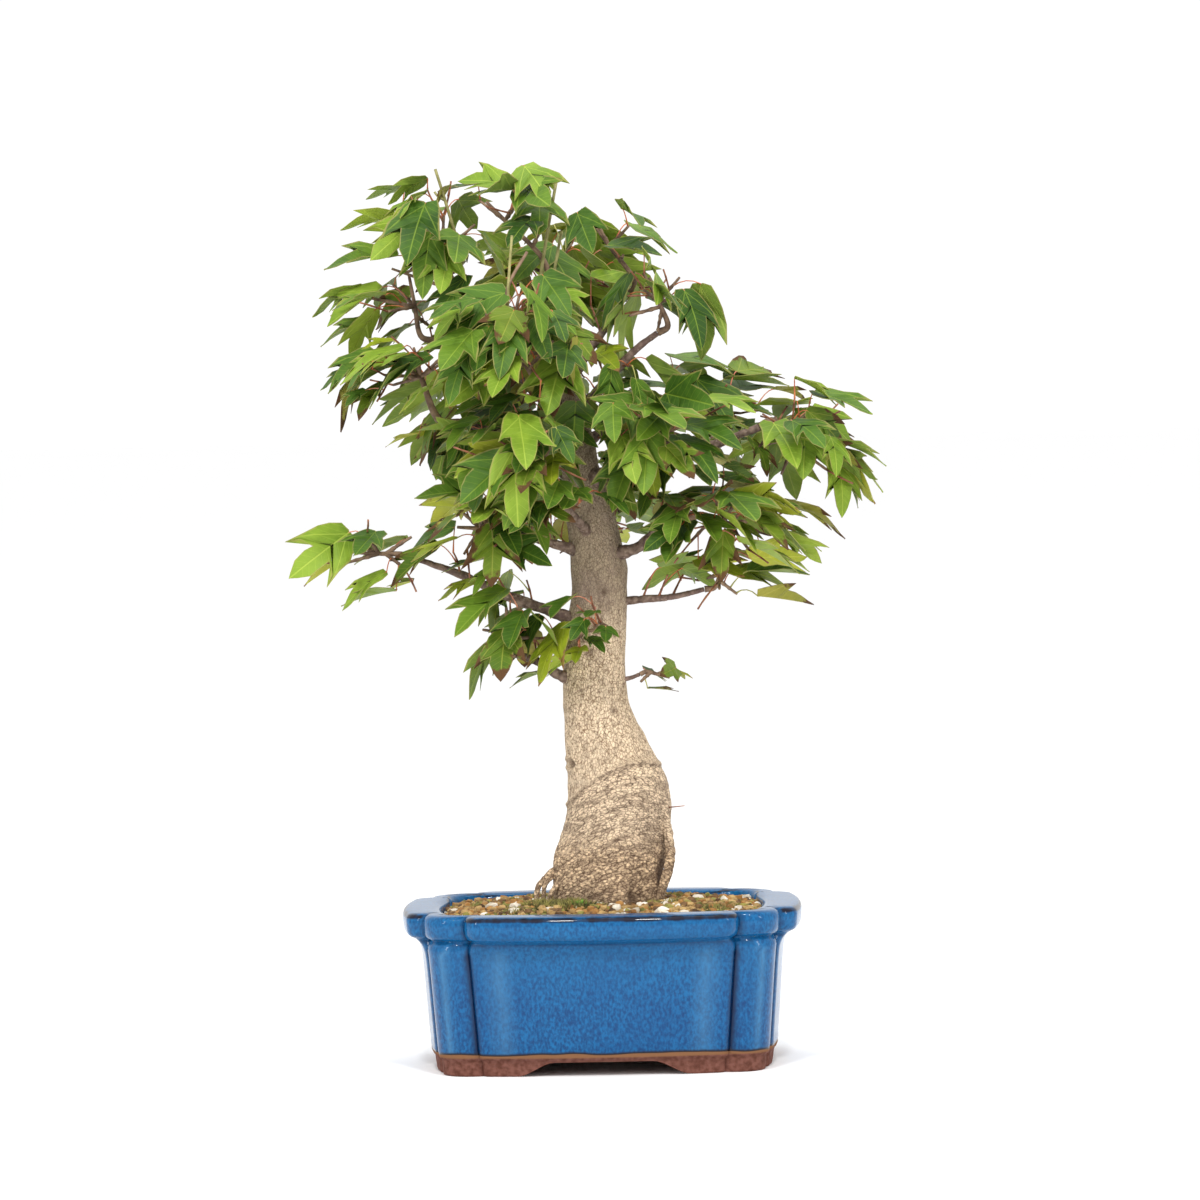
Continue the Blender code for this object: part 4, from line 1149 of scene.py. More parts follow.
# Masses: the limb that each grows on, the middle and half sizes of its space, how many twigs leave its
# stem, how steeply its leaves hang, in degrees, their size beside the others', and the seed.
MASSES = {
    "foliage_lower_left": ("bough_lower_left", (-45, -10, 216), (41, 38, 39), 6, 48, 1.0, 989),
    "foliage_left_reach": ("bough_long_left", (-108, -6, 257), (50, 38, 31), 8, 37, 1.0, 5),
    "foliage_left_low": ("bough_left_low", (-57, -16, 269), (50, 44, 34), 10, 36, 1.0, 906),
    "foliage_left_middle": ("bough_left_middle", (-85, -14, 345), (53, 48, 38), 12, 41, 1.0, 617),
    "foliage_left_shoulder": ("bough_left_shoulder", (-88, 4, 380), (53, 46, 45), 17, 30, 1.0, 260),
    "foliage_top_left": ("bough_left_fork", (-74, 2, 406), (56, 48, 50), 16, 55, 1.0, 59),
    "foliage_apex": ("trunk", (-42, 0, 422), (47, 50, 38), 9, 23, 1.0, 470),
    "foliage_top_right": ("bough_top_right", (10, 2, 408), (39, 46, 35), 10, 23, 1.0, 933),
    "foliage_right_shoulder": ("bough_right_shoulder", (34, -6, 380), (45, 46, 38), 12, 49, 1.0, 229),
    "foliage_right_middle": ("bough_right_middle", (33, -32, 312), (54, 50, 42), 10, 44, 1.0, 614),
    "foliage_right_long": ("bough_right_long", (100, -4, 307), (56, 47, 42), 16, 36, 1.0, 152),
    "foliage_right_lower": ("bough_right_lower", (67, -18, 269), (59, 48, 41), 11, 17, 1.0, 596),
    "foliage_right_low": ("bough_right_low", (63, -4, 247), (52, 40, 37), 9, 16, 1.0, 993),
    "foliage_front_upper": ("bough_front_upper", (-40, -43, 364), (55, 48, 52), 19, 38, 1.0, 594),
    "foliage_front_lower": ("bough_front_lower", (-33, -42, 301), (44, 46, 41), 15, 21, 1.0, 80),
    "foliage_back_top": ("bough_back_top", (-20, 48, 394), (61, 46, 46), 7, 39, 1.0, 797),
    "foliage_back_left": ("bough_back_left", (-52, 46, 327), (62, 46, 48), 8, 40, 1.0, 744),
    "foliage_back_right": ("bough_back_right", (53, 46, 325), (58, 46, 45), 8, 10, 1.0, 48),
    "foliage_back_low": ("bough_back_low", (-8, 48, 283), (53, 44, 43), 9, 18, 1.0, 21),
    "leaves_right_sprig": ("sprig_right", (30, -5, 194), (26, 24, 18), 2, 42, 0.55, 703),
    "leaves_front_sprig": ("sprig_front", (-7, -30, 217), (24, 20, 20), 2, 33, 0.55, 380),
}
GAP = PART_GAP * MM
# A leaf's sizes in millimetres, each at least and at most: its blade's length, and its stalk's length. The
# stalk's radii are at the twig and at the blade.
LEAF_LENGTH = (27.0, 40.0)
LEAF_THICKNESS_SHARE = 0.034
PETIOLE_LENGTH = (9.0, 17.0)
PETIOLE_RADIUS = (0.18, 0.42)
TWIG_RADIUS = 1.1
STEM_END_RADIUS = 1.9
STALK_FACES = 4  # a plain leaf's first faces, which are its stalk's
STEM_SPANS = 3
STEM_KNEE = 0.4  # how far along to the middle of its space a stem keeps its bough's heading
STEM_BEYOND = 0.35  # how far past the middle it ends, beside the smallest half size
TWIG_END_SHARE = 0.75
TWIG_REACH = 0.42  # of the mass's half sizes
TWIG_CHECKS = (0.3, 0.5, 0.7, 0.85, 1.0)  # where along a twig its path is checked
BACKWARD_FROM = (0.2, 0.95)  # where along the stem a twig starts that grows back
NODE_SHARES = (0.3, 0.62, 0.94)  # where along a twig its leaf pairs sit
TRIES = 20
STEM_OVERLAP = 1.0 * MM
CELL_CLEARANCE = 0.5 * MM
TWIG_CLEARANCE = 2.0 * MM
LIMB_CLEARANCE = 1.2 * MM
LEAF_SPACING = 9.0 * MM
GOLDEN_ANGLE = math.pi * (3.0 - math.sqrt(5.0))
# A plain blade of length 1: its side lobe and the notch beside it, its middle, and its tip's drop.
BLADE_HALF = ((0.46, 0.66, -0.07), (0.19, 0.60, -0.03))
BLADE_MIDDLE = 0.42
BLADE_TIP_DROP = -0.10
# Spreads of a leaf's pose in degrees: its heading and its pitch, each at first and how much wider as the
# tries run out, its roll, and its pair's turn round the twig.
HEADING_SPREAD = (22.0, 60.0)
PITCH_SPREAD = (12.0, 14.0)
ROLL_SPREAD = 24.0
PAIR_SPREAD = 20
OUTWARD_WEIGHT = 6.0
# How a stalk leaves its twig: along it, aside and up. Then where along a stalk it is checked.
STALK_FORWARD = 0.5
STALK_ASIDE = (0.5, 1.0)
STALK_RISE = (0.0, 0.5)
STALK_CHECKS = (0.3, 0.6)
# A stem and its twigs as they are shown, with radii in millimetres.
STEM_STEPS = 6
STEM_TIP_RADIUS = 0.75
STEM_TAPER = 0.8
TWIG_STEPS = 10
TWIG_BOW = 0.0  # twigs run as straight as the model's own
TWIG_TAPER = (1.05, 0.42)
KNUCKLE = (0.035, 0.3)  # the swelling at a leaf pair: half length beside the twig's, and height
# Finer shoots off each twig: where they leave it, their length, their turn from it in degrees, the leaf
# pairs along them, and the size of their leaves beside the others'.
SHOOT_SHARES = (0.5, 0.8, 1.0)
SHOOT_LENGTH = (11.0, 22.0)
SHOOT_TURN = (28.0, 62.0)
LAST_SHOOT_TURN = 0.35  # of the other shoots' turn
SHOOT_ROLL = 0.6
SHOOT_CHECKS = (0.5, 1.0)
SHOOT_NODES = (0.55, 1.0)
SHOOT_LEAF = (0.50, 0.85)
SHOOT_LEAF_CHANCE = 0.12
BARE_SHOOT_CHANCE = 0.3
SHOOT_LEAF_SPACING = 11.0 * MM
SHOOT_PAIR_SPREAD = 0.3
SHOOT_TRIES = 4
SHOOT_STEPS = 5
SHOOT_BOW = 0.03
BOW_RISE = 0.4  # how much rather up than down shoots bend
SHOOT_RADII = (0.62, 0.50, 0.45, 0.56, 0.44, 0.5)
# Sprigs straight off the boughs: where along them, their leaves' size and how far apart these keep.
SPRIG_SHARES = (0.4, 0.6, 0.8)
SPRIG_LEAF = (0.6, 0.95)
SPRIG_LEAF_SPACING = 12.0 * MM
SPRIG_TURN = 2.2
SPRIG_LEAN = 0.5
SPRIG_BOW = 0.05
SPRIG_RADII = (0.8, 0.6, 0.5, 0.6, 0.45, 0.5)
SHOOT_SEED = 500  # of the first mass, and one more for each after it
SPRIG_SEED = 900
# Openings through the crown, where the sky shows between the twigs: middle x and height, and radius.
OPENINGS = (
    (26.0, 432.0, 8.0),
    (54.0, 392.0, 15.0),
    (38.0, 360.0, 15.0),
    (138.0, 320.0, 15.0),
    (110.0, 292.0, 11.0),
    (-130.0, 276.0, 15.0),
    (-66.0, 264.0, 11.0),
    (-34.0, 236.0, 8.0),
    (68.0, 232.0, 15.0),
    (-78.0, 220.0, 19.0),
    (51.0, 195.0, 9.0),
)


def all_limbs():
    """Every limb that foliage keeps clear of, as its route and radii."""
    limbs = {name: limb_shape(bough) for name, bough in BOUGHS.items()}
    limbs["trunk"] = (
        [place((x, y, height)) for height, x, y, half in TRUNK],
        [half * MM for height, x, y, half in TRUNK],
    )
    return limbs


def touches_limb(point, limbs, clearance):
    """Whether a point comes nearer to any limb's bark than the clearance."""
    for route, radii in limbs.values():
        for start, end, thick, thin in zip(route, route[1:], radii, radii[1:]):
            span = end - start
            share = min(1.0, max(0.0, (point - start).dot(span) / span.length_squared))
            if (point - start - span * share).length < thick + (thin - thick) * share + clearance:
                return True
    return False


def in_space(point, name, clearance):
    """Whether a point lies in a mass's own space: its ellipsoid, less what lies nearer another mass."""
    centre, radii = place(MASSES[name][1]), place(MASSES[name][2])
    away = point - centre
    if sum((away[i] / radii[i]) ** 2 for i in range(3)) > 1.0:
        return False
    own = away.length_squared - (sum(radii) / 3) ** 2
    for other, (_, middle, half_sizes, *_) in MASSES.items():
        if other == name:
            continue
        middle = place(middle)
        theirs = (point - middle).length_squared - (sum(half_sizes) * MM / 3) ** 2
        if theirs - own < 2 * clearance * (middle - centre).length:
            return False
    return True


def blade_frame(base, axis, normal, length):
    """The matrix that carries a blade of length 1 to its place, along its axis with its face up."""
    across = axis.cross(normal).normalized()
    face = across.cross(axis).normalized()
    turn = Matrix((across, axis, face)).transposed().to_4x4()
    return Matrix.Translation(base) @ turn @ Matrix.Scale(length, 4)


def blade_outline():
    """The rim of a blade of length 1, without its foot: right lobe, notch, tip, notch and left lobe."""
    right = [Vector(point) for point in BLADE_HALF]
    left = [Vector((-x, y, z)) for x, y, z in reversed(BLADE_HALF)]
    return [*right, Vector((0.0, 1.0, BLADE_TIP_DROP)), *left]


def blade_rim(blade):
    """The rim of a blade at its place."""
    return [blade @ point for point in blade_outline()]


def blade_middle(blade):
    """The middle of a blade at its place."""
    return blade @ Vector((0.0, BLADE_MIDDLE, 0.0))


def leaf_shape(root, blade):
    """A leaf as points and faces: a three-sided stalk that widens into a lobed blade, closed all round."""
    base = blade.translation
    across, _, face = (blade.col[i].xyz.normalized() for i in range(3))
    stalk = (base - root).normalized()
    side = (across - stalk * across.dot(stalk)).normalized()
    below = side.cross(stalk)
    if below.dot(face) > 0.0:
        below.negate()
    thin, thick = (radius * MM for radius in PETIOLE_RADIUS)
    points = [root - side * thin, root + side * thin, root + below * thin]
    points += [base - across * thick, base + across * thick, base - face * thick]
    points += blade_rim(blade)
    points.append(blade @ Vector((0.0, BLADE_MIDDLE, LEAF_THICKNESS_SHARE)))
    left, right, under, top = 3, 4, 5, len(points) - 1
    faces = [(0, 1, 2), (0, 1, right, left), (1, 2, under, right), (2, 0, left, under), (left, right, top)]
    rim = [right, *range(under + 1, top), left]
    for first, second in zip(rim, rim[1:]):
        faces += [(first, second, top), (first, second, under)]
    return points, faces


def pose_leaf(node, heading, side, droop, share, freedom, rng):
    """One leaf: where its stalk starts, and its blade's frame. Freedom runs from 0 to 1."""
    stalk = heading * STALK_FORWARD + side * rng.uniform(*STALK_ASIDE) + UP * rng.uniform(*STALK_RISE)
    stalk.normalize()
    base = node + stalk * rng.uniform(*PETIOLE_LENGTH) * share * MM
    outward = stalk + node * OUTWARD_WEIGHT
    outward = Vector((outward.x, outward.y, 0.0)).normalized()
    swing = rng.gauss(0.0, HEADING_SPREAD[0] + HEADING_SPREAD[1] * freedom)
    outward.rotate(Matrix.Rotation(math.radians(swing), 3, "Z"))
    pitch = math.radians(rng.gauss(droop, PITCH_SPREAD[0] + PITCH_SPREAD[1] * freedom))
    axis = outward * math.cos(pitch) - UP * math.sin(pitch)
    normal = Matrix.Rotation(math.radians(rng.gauss(0.0, ROLL_SPREAD)), 3, axis) @ UP
    return node, blade_frame(base, axis, normal, rng.uniform(*LEAF_LENGTH) * share * MM)


def leaf_fits(node, blade, name, limbs, taken, twigs, own):
    """Whether a leaf keeps to its mass's space, clear of the limbs, the other leaves and the twigs."""
    middle = blade_middle(blade)
    if (middle - blade.translation).dot(blade.translation - node) < 0.0:
        return False
    rim = [blade.translation, *blade_rim(blade)]
    if not all(in_space(point, name, CELL_CLEARANCE) for point in rim):
        return False
    if any((middle - other).length < LEAF_SPACING for other, _ in taken):
        return False
    samples = [*rim, middle]
    samples += [(a + b) / 2 for a, b in zip(rim, rim[1:] + rim[:1])]
    samples += [(point + middle) / 2 for point in rim]
    samples += [node.lerp(rim[0], share) for share in STALK_CHECKS]
    if any(touches_limb(point, limbs, LIMB_CLEARANCE) for point in samples):
        return False
    points, faces = leaf_shape(node, blade)
    if BVHTree.FromPolygons(points, faces[STALK_FACES:]).overlap(twigs[own]):
        return False
    whole = BVHTree.FromPolygons(points, faces)
    if any(whole.overlap(twig) for i, twig in enumerate(twigs) if i != own):
        return False
    return not any(whole.overlap(other) for _, other in taken)


def stem_route(name, limbs):
    """A mass's stem: on from its limb's end, through the middle of its space and a little beyond."""
    limb, centre, radii, *_ = MASSES[name]
    route, thickness = limbs[limb]
    heading = (route[-1] - route[-2]).normalized()
    start = route[-1] + heading * GAP
    middle = place(centre)
    knee = start + heading * (middle - start).length * STEM_KNEE
    tip = middle + (middle - knee).normalized() * min(radii) * STEM_BEYOND * MM
    return [start, knee, middle, tip], thickness[-1]


def rod_frame(start, end, radius):
    """The matrix that stretches the twig of length 1 between two points."""
    span = end - start
    turn = span.to_track_quat("Z", "Y").to_matrix().to_4x4()
    return Matrix.Translation(start) @ turn @ Matrix.Diagonal((radius, radius, span.length, 1.0))


def runs_free(path, name, limbs):
    """Whether a twig's path keeps clear of the limbs and inside its mass's space."""
    return not any(
        touches_limb(point, limbs, LIMB_CLEARANCE) or not in_space(point, name, TWIG_CLEARANCE)
        for point in path
    )


def mass_twigs(name, limbs, rng):
    """A mass's stem in three spans and the twigs that leave it, each as start, end and radius."""
    _, centre, radii, count, *_ = MASSES[name]
    centre, radii = place(centre), place(radii)
    stem, thickness = stem_route(name, limbs)
    spans = []
    for start, end in zip(stem, stem[1:]):
        overlap = (end - start).normalized() * STEM_OVERLAP if spans else Vector()
        spans.append((start - overlap, end, thickness))
        thickness = max(STEM_END_RADIUS * MM, thickness * TWIG_END_SHARE)
    twigs = []
    first_turn = rng.uniform(0.0, 2 * math.pi)
    for i in range(count):
        level = 1.0 - (2 * i + 1) / count
        turn = first_turn + i * GOLDEN_ANGLE
        flat = math.sqrt(1.0 - level * level)
        aim = Vector((flat * math.cos(turn), flat * math.sin(turn), level))
        end = centre + Vector([a * r for a, r in zip(aim, radii)]) * TWIG_REACH
        backward = aim.dot(stem[3] - stem[2]) < 0.0
        root = stem[1].lerp(stem[2], rng.uniform(*BACKWARD_FROM)) if backward else stem[2]
        if runs_free([root.lerp(end, share) for share in TWIG_CHECKS], name, limbs):
            twigs.append((root, end, TWIG_RADIUS * MM))
    return spans, twigs


def grow(name, limbs, twig_shape):
    """A mass's twigs, as start, end and radius, and its leaves, as stalk root and blade frame."""
    droop, size, seed = MASSES[name][4:]
    rng = random.Random(seed)
    spans, twigs = mass_twigs(name, limbs, rng)
    faces = [face.vertices for face in twig_shape.polygons]
    solids = []
    for rod in twigs + spans:
        along_rod = rod_frame(*rod)
        corners = [along_rod @ corner.co for corner in twig_shape.vertices]
        solids.append(BVHTree.FromPolygons(corners, faces))
    leaves, taken, bearing = [], [], []
    for own, (root, end, radius) in enumerate(twigs):
        heading = (end - root).normalized()
        across = heading.cross(UP).normalized()
        before = len(leaves)
        for pair, along in enumerate(NODE_SHARES):
            node = root.lerp(end, along)
            roll = math.radians(90 * pair + rng.gauss(0, PAIR_SPREAD))
            side = Matrix.Rotation(roll, 3, heading) @ across
            for way in (-1, 1):
                for attempt in range(TRIES):
                    leaf = pose_leaf(node, heading, side * way, droop, size, attempt / TRIES, rng)
                    if leaf_fits(*leaf, name, limbs, taken, solids, own):
                        leaves.append(leaf)
                        taken.append((blade_middle(leaf[1]), BVHTree.FromPolygons(*leaf_shape(*leaf))))
                        break
        if len(leaves) > before:
            bearing.append((root, end, radius))
    return spans + bearing, leaves


def in_opening(point):
    """Whether a point lies in one of the crown's openings."""
    return any(math.hypot(point.x / MM - x, point.z / MM - z) < radius for x, z, radius in OPENINGS)


def small_leaf(stands, droop, sizes, spacing, names, limbs, taken, rng):
    """A small leaf within the named masses' spaces, clear of the limbs and the leaves, or none."""
    for attempt in range(SHOOT_TRIES):
        leaf = pose_leaf(*stands, droop, rng.uniform(*sizes), attempt / SHOOT_TRIES, rng)
        middle, rim = blade_middle(leaf[1]), blade_rim(leaf[1])
        if any((middle - other).length < spacing for other in taken):
            continue
        if any(touches_limb(point, limbs, LIMB_CLEARANCE) for point in (*rim, middle)):
            continue
        if all(any(in_space(point, name, CELL_CLEARANCE) for name in names) for point in rim):
            taken.append(middle)
            return leaf
    return None


def shoots_of(twig, name, limbs, taken, rng):
    """The finer shoots of one twig: their routes, and the small leaves that they carry."""
    root, end, _ = twig
    heading = (end - root).normalized()
    droop, size = MASSES[name][4:6]
    sizes = [size * share for share in SHOOT_LEAF]
    routes, leaves = [], []
    for number, along in enumerate(SHOOT_SHARES):
        start = root.lerp(end, along)
        roll = Matrix.Rotation(number * GOLDEN_ANGLE + rng.uniform(-SHOOT_ROLL, SHOOT_ROLL), 3, heading)
        away = roll @ heading.cross(UP).normalized()
        turn = math.radians(rng.uniform(*SHOOT_TURN)) * (LAST_SHOOT_TURN if along == 1.0 else 1.0)
        aim = (heading * math.cos(turn) + away * math.sin(turn)).normalized()
        tip = start + aim * rng.uniform(*SHOOT_LENGTH) * MM
        if not runs_free([start.lerp(tip, share) for share in SHOOT_CHECKS], name, limbs):
            continue
        carried = []
        for pair, share in enumerate(SHOOT_NODES):
            node = start.lerp(tip, share)
            roll = Matrix.Rotation(math.pi / 2 * pair + rng.gauss(0, SHOOT_PAIR_SPREAD), 3, aim)
            side = roll @ aim.cross(UP).normalized()
            for way in (-1, 1):
                if rng.random() > SHOOT_LEAF_CHANCE:
                    continue
                stands = (node, aim, side * way)
                leaf = small_leaf(stands, droop, sizes, SHOOT_LEAF_SPACING, [name], limbs, taken, rng)
                if leaf:
                    carried.append(leaf)
        if carried or rng.random() < BARE_SHOOT_CHANCE:
            routes.append((start, tip))
            leaves += carried
    return routes, leaves


def sprig(start, heading, limbs, taken, rng):
    """A short shoot straight from a bough, with up to four leaves, wherever the crown is thin."""
    tip = start + heading * rng.uniform(*SHOOT_LENGTH) * MM
    name = next((name for name in MASSES if in_space(tip, name, CELL_CLEARANCE)), None)
    if name is None or touches_limb(tip, limbs, LIMB_CLEARANCE):
        return None, []
    droop = MASSES[name][4]
    carried = []
    for pair, share in enumerate(SHOOT_NODES):
        node = start.lerp(tip, share)
        across = Matrix.Rotation(math.pi / 2 * pair, 3, heading) @ heading.cross(UP).normalized()
        for way in (-1, 1):
            stands = (node, heading, across * way)
            leaf = small_leaf(stands, droop, SPRIG_LEAF, SPRIG_LEAF_SPACING, MASSES, limbs, taken, rng)
            if leaf:
                carried.append((name, *leaf))
    return tip, carried


def bowed(start, end, bow, steps, rng):
    """Points from one place to another, bent a little to one side."""
    side = Vector((rng.gauss(0, 1), rng.gauss(0, 1), rng.gauss(BOW_RISE, 1))).normalized() * bow
    points = []
    for step in range(steps + 1):
        share = step / steps
        points.append(start.lerp(end, share) + side * (end - start).length * 4 * share * (1 - share))
    return points


bpy.ops.object.select_all(action="DESELECT")
bpy.ops.mesh.primitive_cone_add(vertices=3, radius1=1.0, radius2=TWIG_END_SHARE, depth=1.0)
twig_guide = bpy.context.object
twig_guide.data.transform(Matrix.Translation((0.0, 0.0, 0.5)))
limbs = all_limbs()
twig_lines, all_leaves = [], []
for mass_number, name in enumerate(MASSES):
    rods, leaves = grow(name, limbs, twig_guide.data)
    spans, twigs = rods[:STEM_SPANS], rods[STEM_SPANS:]
    rng = random.Random(mass_number + SHOOT_SEED)
    route = smooth_route([spans[0][0], *(end for _, end, _ in spans)], STEM_STEPS)
    thick = spans[0][2] / MM
    last = len(route) - 1
    radii = [thick + (STEM_TIP_RADIUS - thick) * (i / last) ** STEM_TAPER for i in range(len(route))]
    twig_lines.append((route, radii, 0))
    taken = [blade_middle(blade) for _, blade in leaves]
    for twig in twigs:
        root, end, _ = twig
        points = bowed(root, end, TWIG_BOW, TWIG_STEPS, rng)
        radii = []
        for i in range(len(points)):
            share = i / TWIG_STEPS
            knuckle = max(bell(share - at, KNUCKLE[0]) for at in NODE_SHARES)
            radii.append(TWIG_TAPER[0] - TWIG_TAPER[1] * share + KNUCKLE[1] * knuckle)
        twig_lines.append((points, radii, 0))
        routes, small_leaves = shoots_of(twig, name, limbs, taken, rng)
        leaves += small_leaves
        for start, tip in routes:
            if not in_opening(tip):
                twig_lines.append((bowed(start, tip, SHOOT_BOW, SHOOT_STEPS, rng), SHOOT_RADII, 1))
    all_leaves += [(name, node, blade) for node, blade in leaves]
bpy.data.objects.remove(twig_guide)

# Sprigs along the boughs, between the trunk and the masses.
rng = random.Random(SPRIG_SEED)
taken = [blade_middle(blade) for _, _, blade in all_leaves]
for name in BOUGHS:
    route, _ = limbs[name]
    for share in SPRIG_SHARES:
        knot = min(len(route) - 2, int(share * (len(route) - 1)))
        along = (route[knot + 1] - route[knot]).normalized()
        turn = Matrix.Rotation(rng.uniform(-SPRIG_TURN, SPRIG_TURN), 3, along)
        up = (UP - along * UP.dot(along)).normalized()
        heading = (turn @ up + along * SPRIG_LEAN).normalized()
        tip, carried = sprig(route[knot], heading, limbs, taken, rng)
        if carried:
            twig_lines.append((bowed(route[knot], tip, SPRIG_BOW, SHOOT_STEPS, rng), SPRIG_RADII, 1))
            all_leaves += carried

# Shoots left standing by the last pruning: route, radii, and whether brown 0, red 1 or olive green 2.
CUT_SHOOTS = (
    (((-68, 3.5, 397), (-66, 2, 410), (-71, 0.5, 430), (-76.3, -1, 448.3)), (1.0, 0.9, 0.8, 0.75), 2),
    (((-72.3, 0, 433), (-75, 0.5, 434.5), (-77, 1, 437)), (0.75, 0.6, 0.6), 2),
    (((-21, 0, 378), (-25, -2, 389), (-21, -2.5, 415), (-15.9, -2, 441.3)), (1.1, 1.0, 0.85, 0.8), 2),
    (((-20.5, 0, 380), (-19, -2, 390), (-16.5, -3, 403), (-13.8, -3, 416.3)), (0.9, 0.85, 0.75, 0.7), 2),
    (
        ((-41, -44, 366), (-40.5, -45, 380), (-39.7, -44, 394), (-37.8, -43, 414.2)),
        (0.9, 0.8, 0.75, 0.7), 2,
    ),
    (((-42, -45, 368), (-40.2, -44, 388.7), (-30.5, -42, 406)), (1.1, 0.9, 0.75), 0),
    (((-68, 3.5, 396), (-72, 2.5, 406), (-77.8, 1.5, 417.3)), (1.3, 1.1, 0.9), 0),
    (((-64, 4, 386.5), (-80, 2, 392), (-99.1, 0, 399.1)), (1.2, 0.9, 0.6), 0),
    (((33, -7, 127.3), (38, -8.5, 127.8), (42.2, -9, 128.2)), (0.35, 0.3, 0.2), 1),
    (((-13, -6, 210.5), (-16.5, -9, 211.7), (-19.5, -10.5, 214)), (0.6, 0.5, 0.2), 2),
    (((-13, -6, 210.5), (-16.8, -10, 209.5), (-19, -12, 210.5)), (0.5, 0.4, 0.15), 2),
)
CUT_SHOOT_STEPS = 4
for points, radii, slot in CUT_SHOOTS:
    route = smooth_route([place(point) for point in points], CUT_SHOOT_STEPS)
    shares = np.linspace(0.0, 1.0, len(route))
    twig_lines.append((route, list(np.interp(shares, np.linspace(0.0, 1.0, len(radii)), radii)), slot))


def shoot_finish(name, dark, light, roughness):
    """Young bark: smooth, streaked along, a little glossy."""
    finish = Finish(name, Roughness=roughness)
    streaks = finish.clouds(3.0, 3.0)
    finish.wear("Base Color", finish.mix(streaks.ramp(0.3, 0.7), dark, light))
    finish.relief(finish.clouds(0.8, 2.0), 0.15)
    return finish.material


twigs = strands("twigs", twig_lines, 8, (
    shoot_finish("grey_brown_twig", (0.085, 0.048, 0.028), (0.260, 0.165, 0.100), 0.75),
    shoot_finish("red_brown_shoot", (0.130, 0.040, 0.018), (0.330, 0.130, 0.060), 0.6),
    shoot_finish("olive_cut_shoot", (0.160, 0.150, 0.040), (0.330, 0.300, 0.110), 0.6),
))
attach(twigs, "root")


# The leaves: three-lobed blades, thin and a little leathery, folded along the midrib, each on a thin
# arched stalk. Most are green with paler undersides; the oldest turn yellow or scorch brown at the tips.
BLADE_ROWS = (
    # half a blade, from foot to tip: the midrib's length there, and the rim across and along
    (0.0, 0.03, -0.01),
    (0.05, 0.18, 0.01),
    (0.11, 0.29, 0.14),
    (0.18, 0.335, 0.32),
    (0.25, 0.405, 0.53),
    (0.30, 0.480, 0.75),
    (0.36, 0.345, 0.650),
    (0.48, 0.205, 0.555),
    (0.64, 0.205, 0.69),
    (0.80, 0.150, 0.82),
    (0.92, 0.065, 0.93),
    (1.0, 0.0, 1.0),
)
BLADE_BENDS = (
    # fold at the midrib, sag along it, droop of the side lobes, twist, waviness, and how far the side lobes
    # and the rim at the notches reach beside the rows above
    (0.22, 0.10, 0.20, 0.00, 0.020, 1.00, 1.00),
    (0.34, 0.16, 0.10, 0.10, 0.025, 0.92, 0.95),
    (0.12, 0.22, 0.34, -0.08, 0.030, 1.12, 0.85),
    (0.45, 0.06, -0.05, 0.06, 0.020, 0.90, 1.00),
    (0.18, 0.30, 0.25, -0.12, 0.035, 0.97, 0.78),
    (0.28, 0.04, 0.30, 0.12, 0.030, 1.06, 1.00),
    (0.38, 0.20, 0.15, -0.05, 0.030, 0.95, 0.90),
    (0.15, 0.36, 0.10, 0.05, 0.025, 0.94, 1.00),
)
LOBE_ROWS = (4, 5, 6)
NOTCH_ROWS = (7, 8)
BLADE_SLIMNESS = 0.9
BLADE_UNEVENNESS = 0.025
BLADE_WAVES = (9.0, 3.0)  # along the blade, and from one side to the other
LOBE_SHIFT = 0.10  # how far back a shorter side lobe ends
BLADE_THICKNESS = 0.30
USUAL_LENGTH = 33.0
BLADE_EDGE_ANGLE = 35
BLADE_WELD = 0.0001
VEIN = (0.530, 0.848)  # the way a side vein runs, from the blade's foot to the side lobe's tip
VEIN_START = 0.05
FINE_VEINS = (0.75, 0.095)  # how steeply they climb from the midrib, and how far apart they lie
MARGIN_AND_HIGHLIGHT = (0.330, 0.270, 0.090)
# How leaves turn their blades out of the crown and to the sky, as far as they clear one another: how far
# they swing, what share of their pitch they keep, and how far their faces lean and scatter.
SWING = (0.3, 0.9)
OUTWARD_PULL = 1.5
PITCH_SHARE = (0.15, 0.7)
FRONT_PITCH = 0.3
FACE_LEAN = (0.0, 0.8)
FACE_SPREAD = 0.35
TURN_TRIES = 5
NEAR = 45.0 * MM
# Leaves low in the crown turn first and high ones stay fresh, their lighter greens also painting the
# stronger light from above: the height from which each holds, and the span over which it grows. Leaves
# inside a mass turn too, and most of those on one lone sprig.
LOW_CROWN = (385.0, -150.0)
LIT_HIGH_CROWN = (360.0, 80.0)
TURNED_SPRIG = "leaves_right_sprig"
# How many turn: anywhere, and how many more low in the crown, inside a mass and on the lone sprig.
TURNING = (0.04, 0.30, 0.12, 0.8)
YELLOW_SHARE = 0.45  # beside one scorched leaf
# How many stay deep, mid and fresh green, and how many turn from deep to fresh high in the crown, as
# painted light from above.
GREENS = (0.34, 0.42, 0.22)
FRESHER_WHERE_LIT = 0.16
STALK_RADII = (0.50, 0.34, 0.29, 0.29, 0.34, 0.20)
STALK_ARCH = (0.08, 0.22)
STALK_SHARES = (0.0, 0.25, 0.5, 0.75, 1.0)
STALK_TINTS = (0.5, 0.3, 0.2)  # how many are orange red, pink and yellow green
STALK_OVERLAP = 1.2 * MM
TURN_SEED = 41
STALK_SEED = 63
TINT_SEED = 77


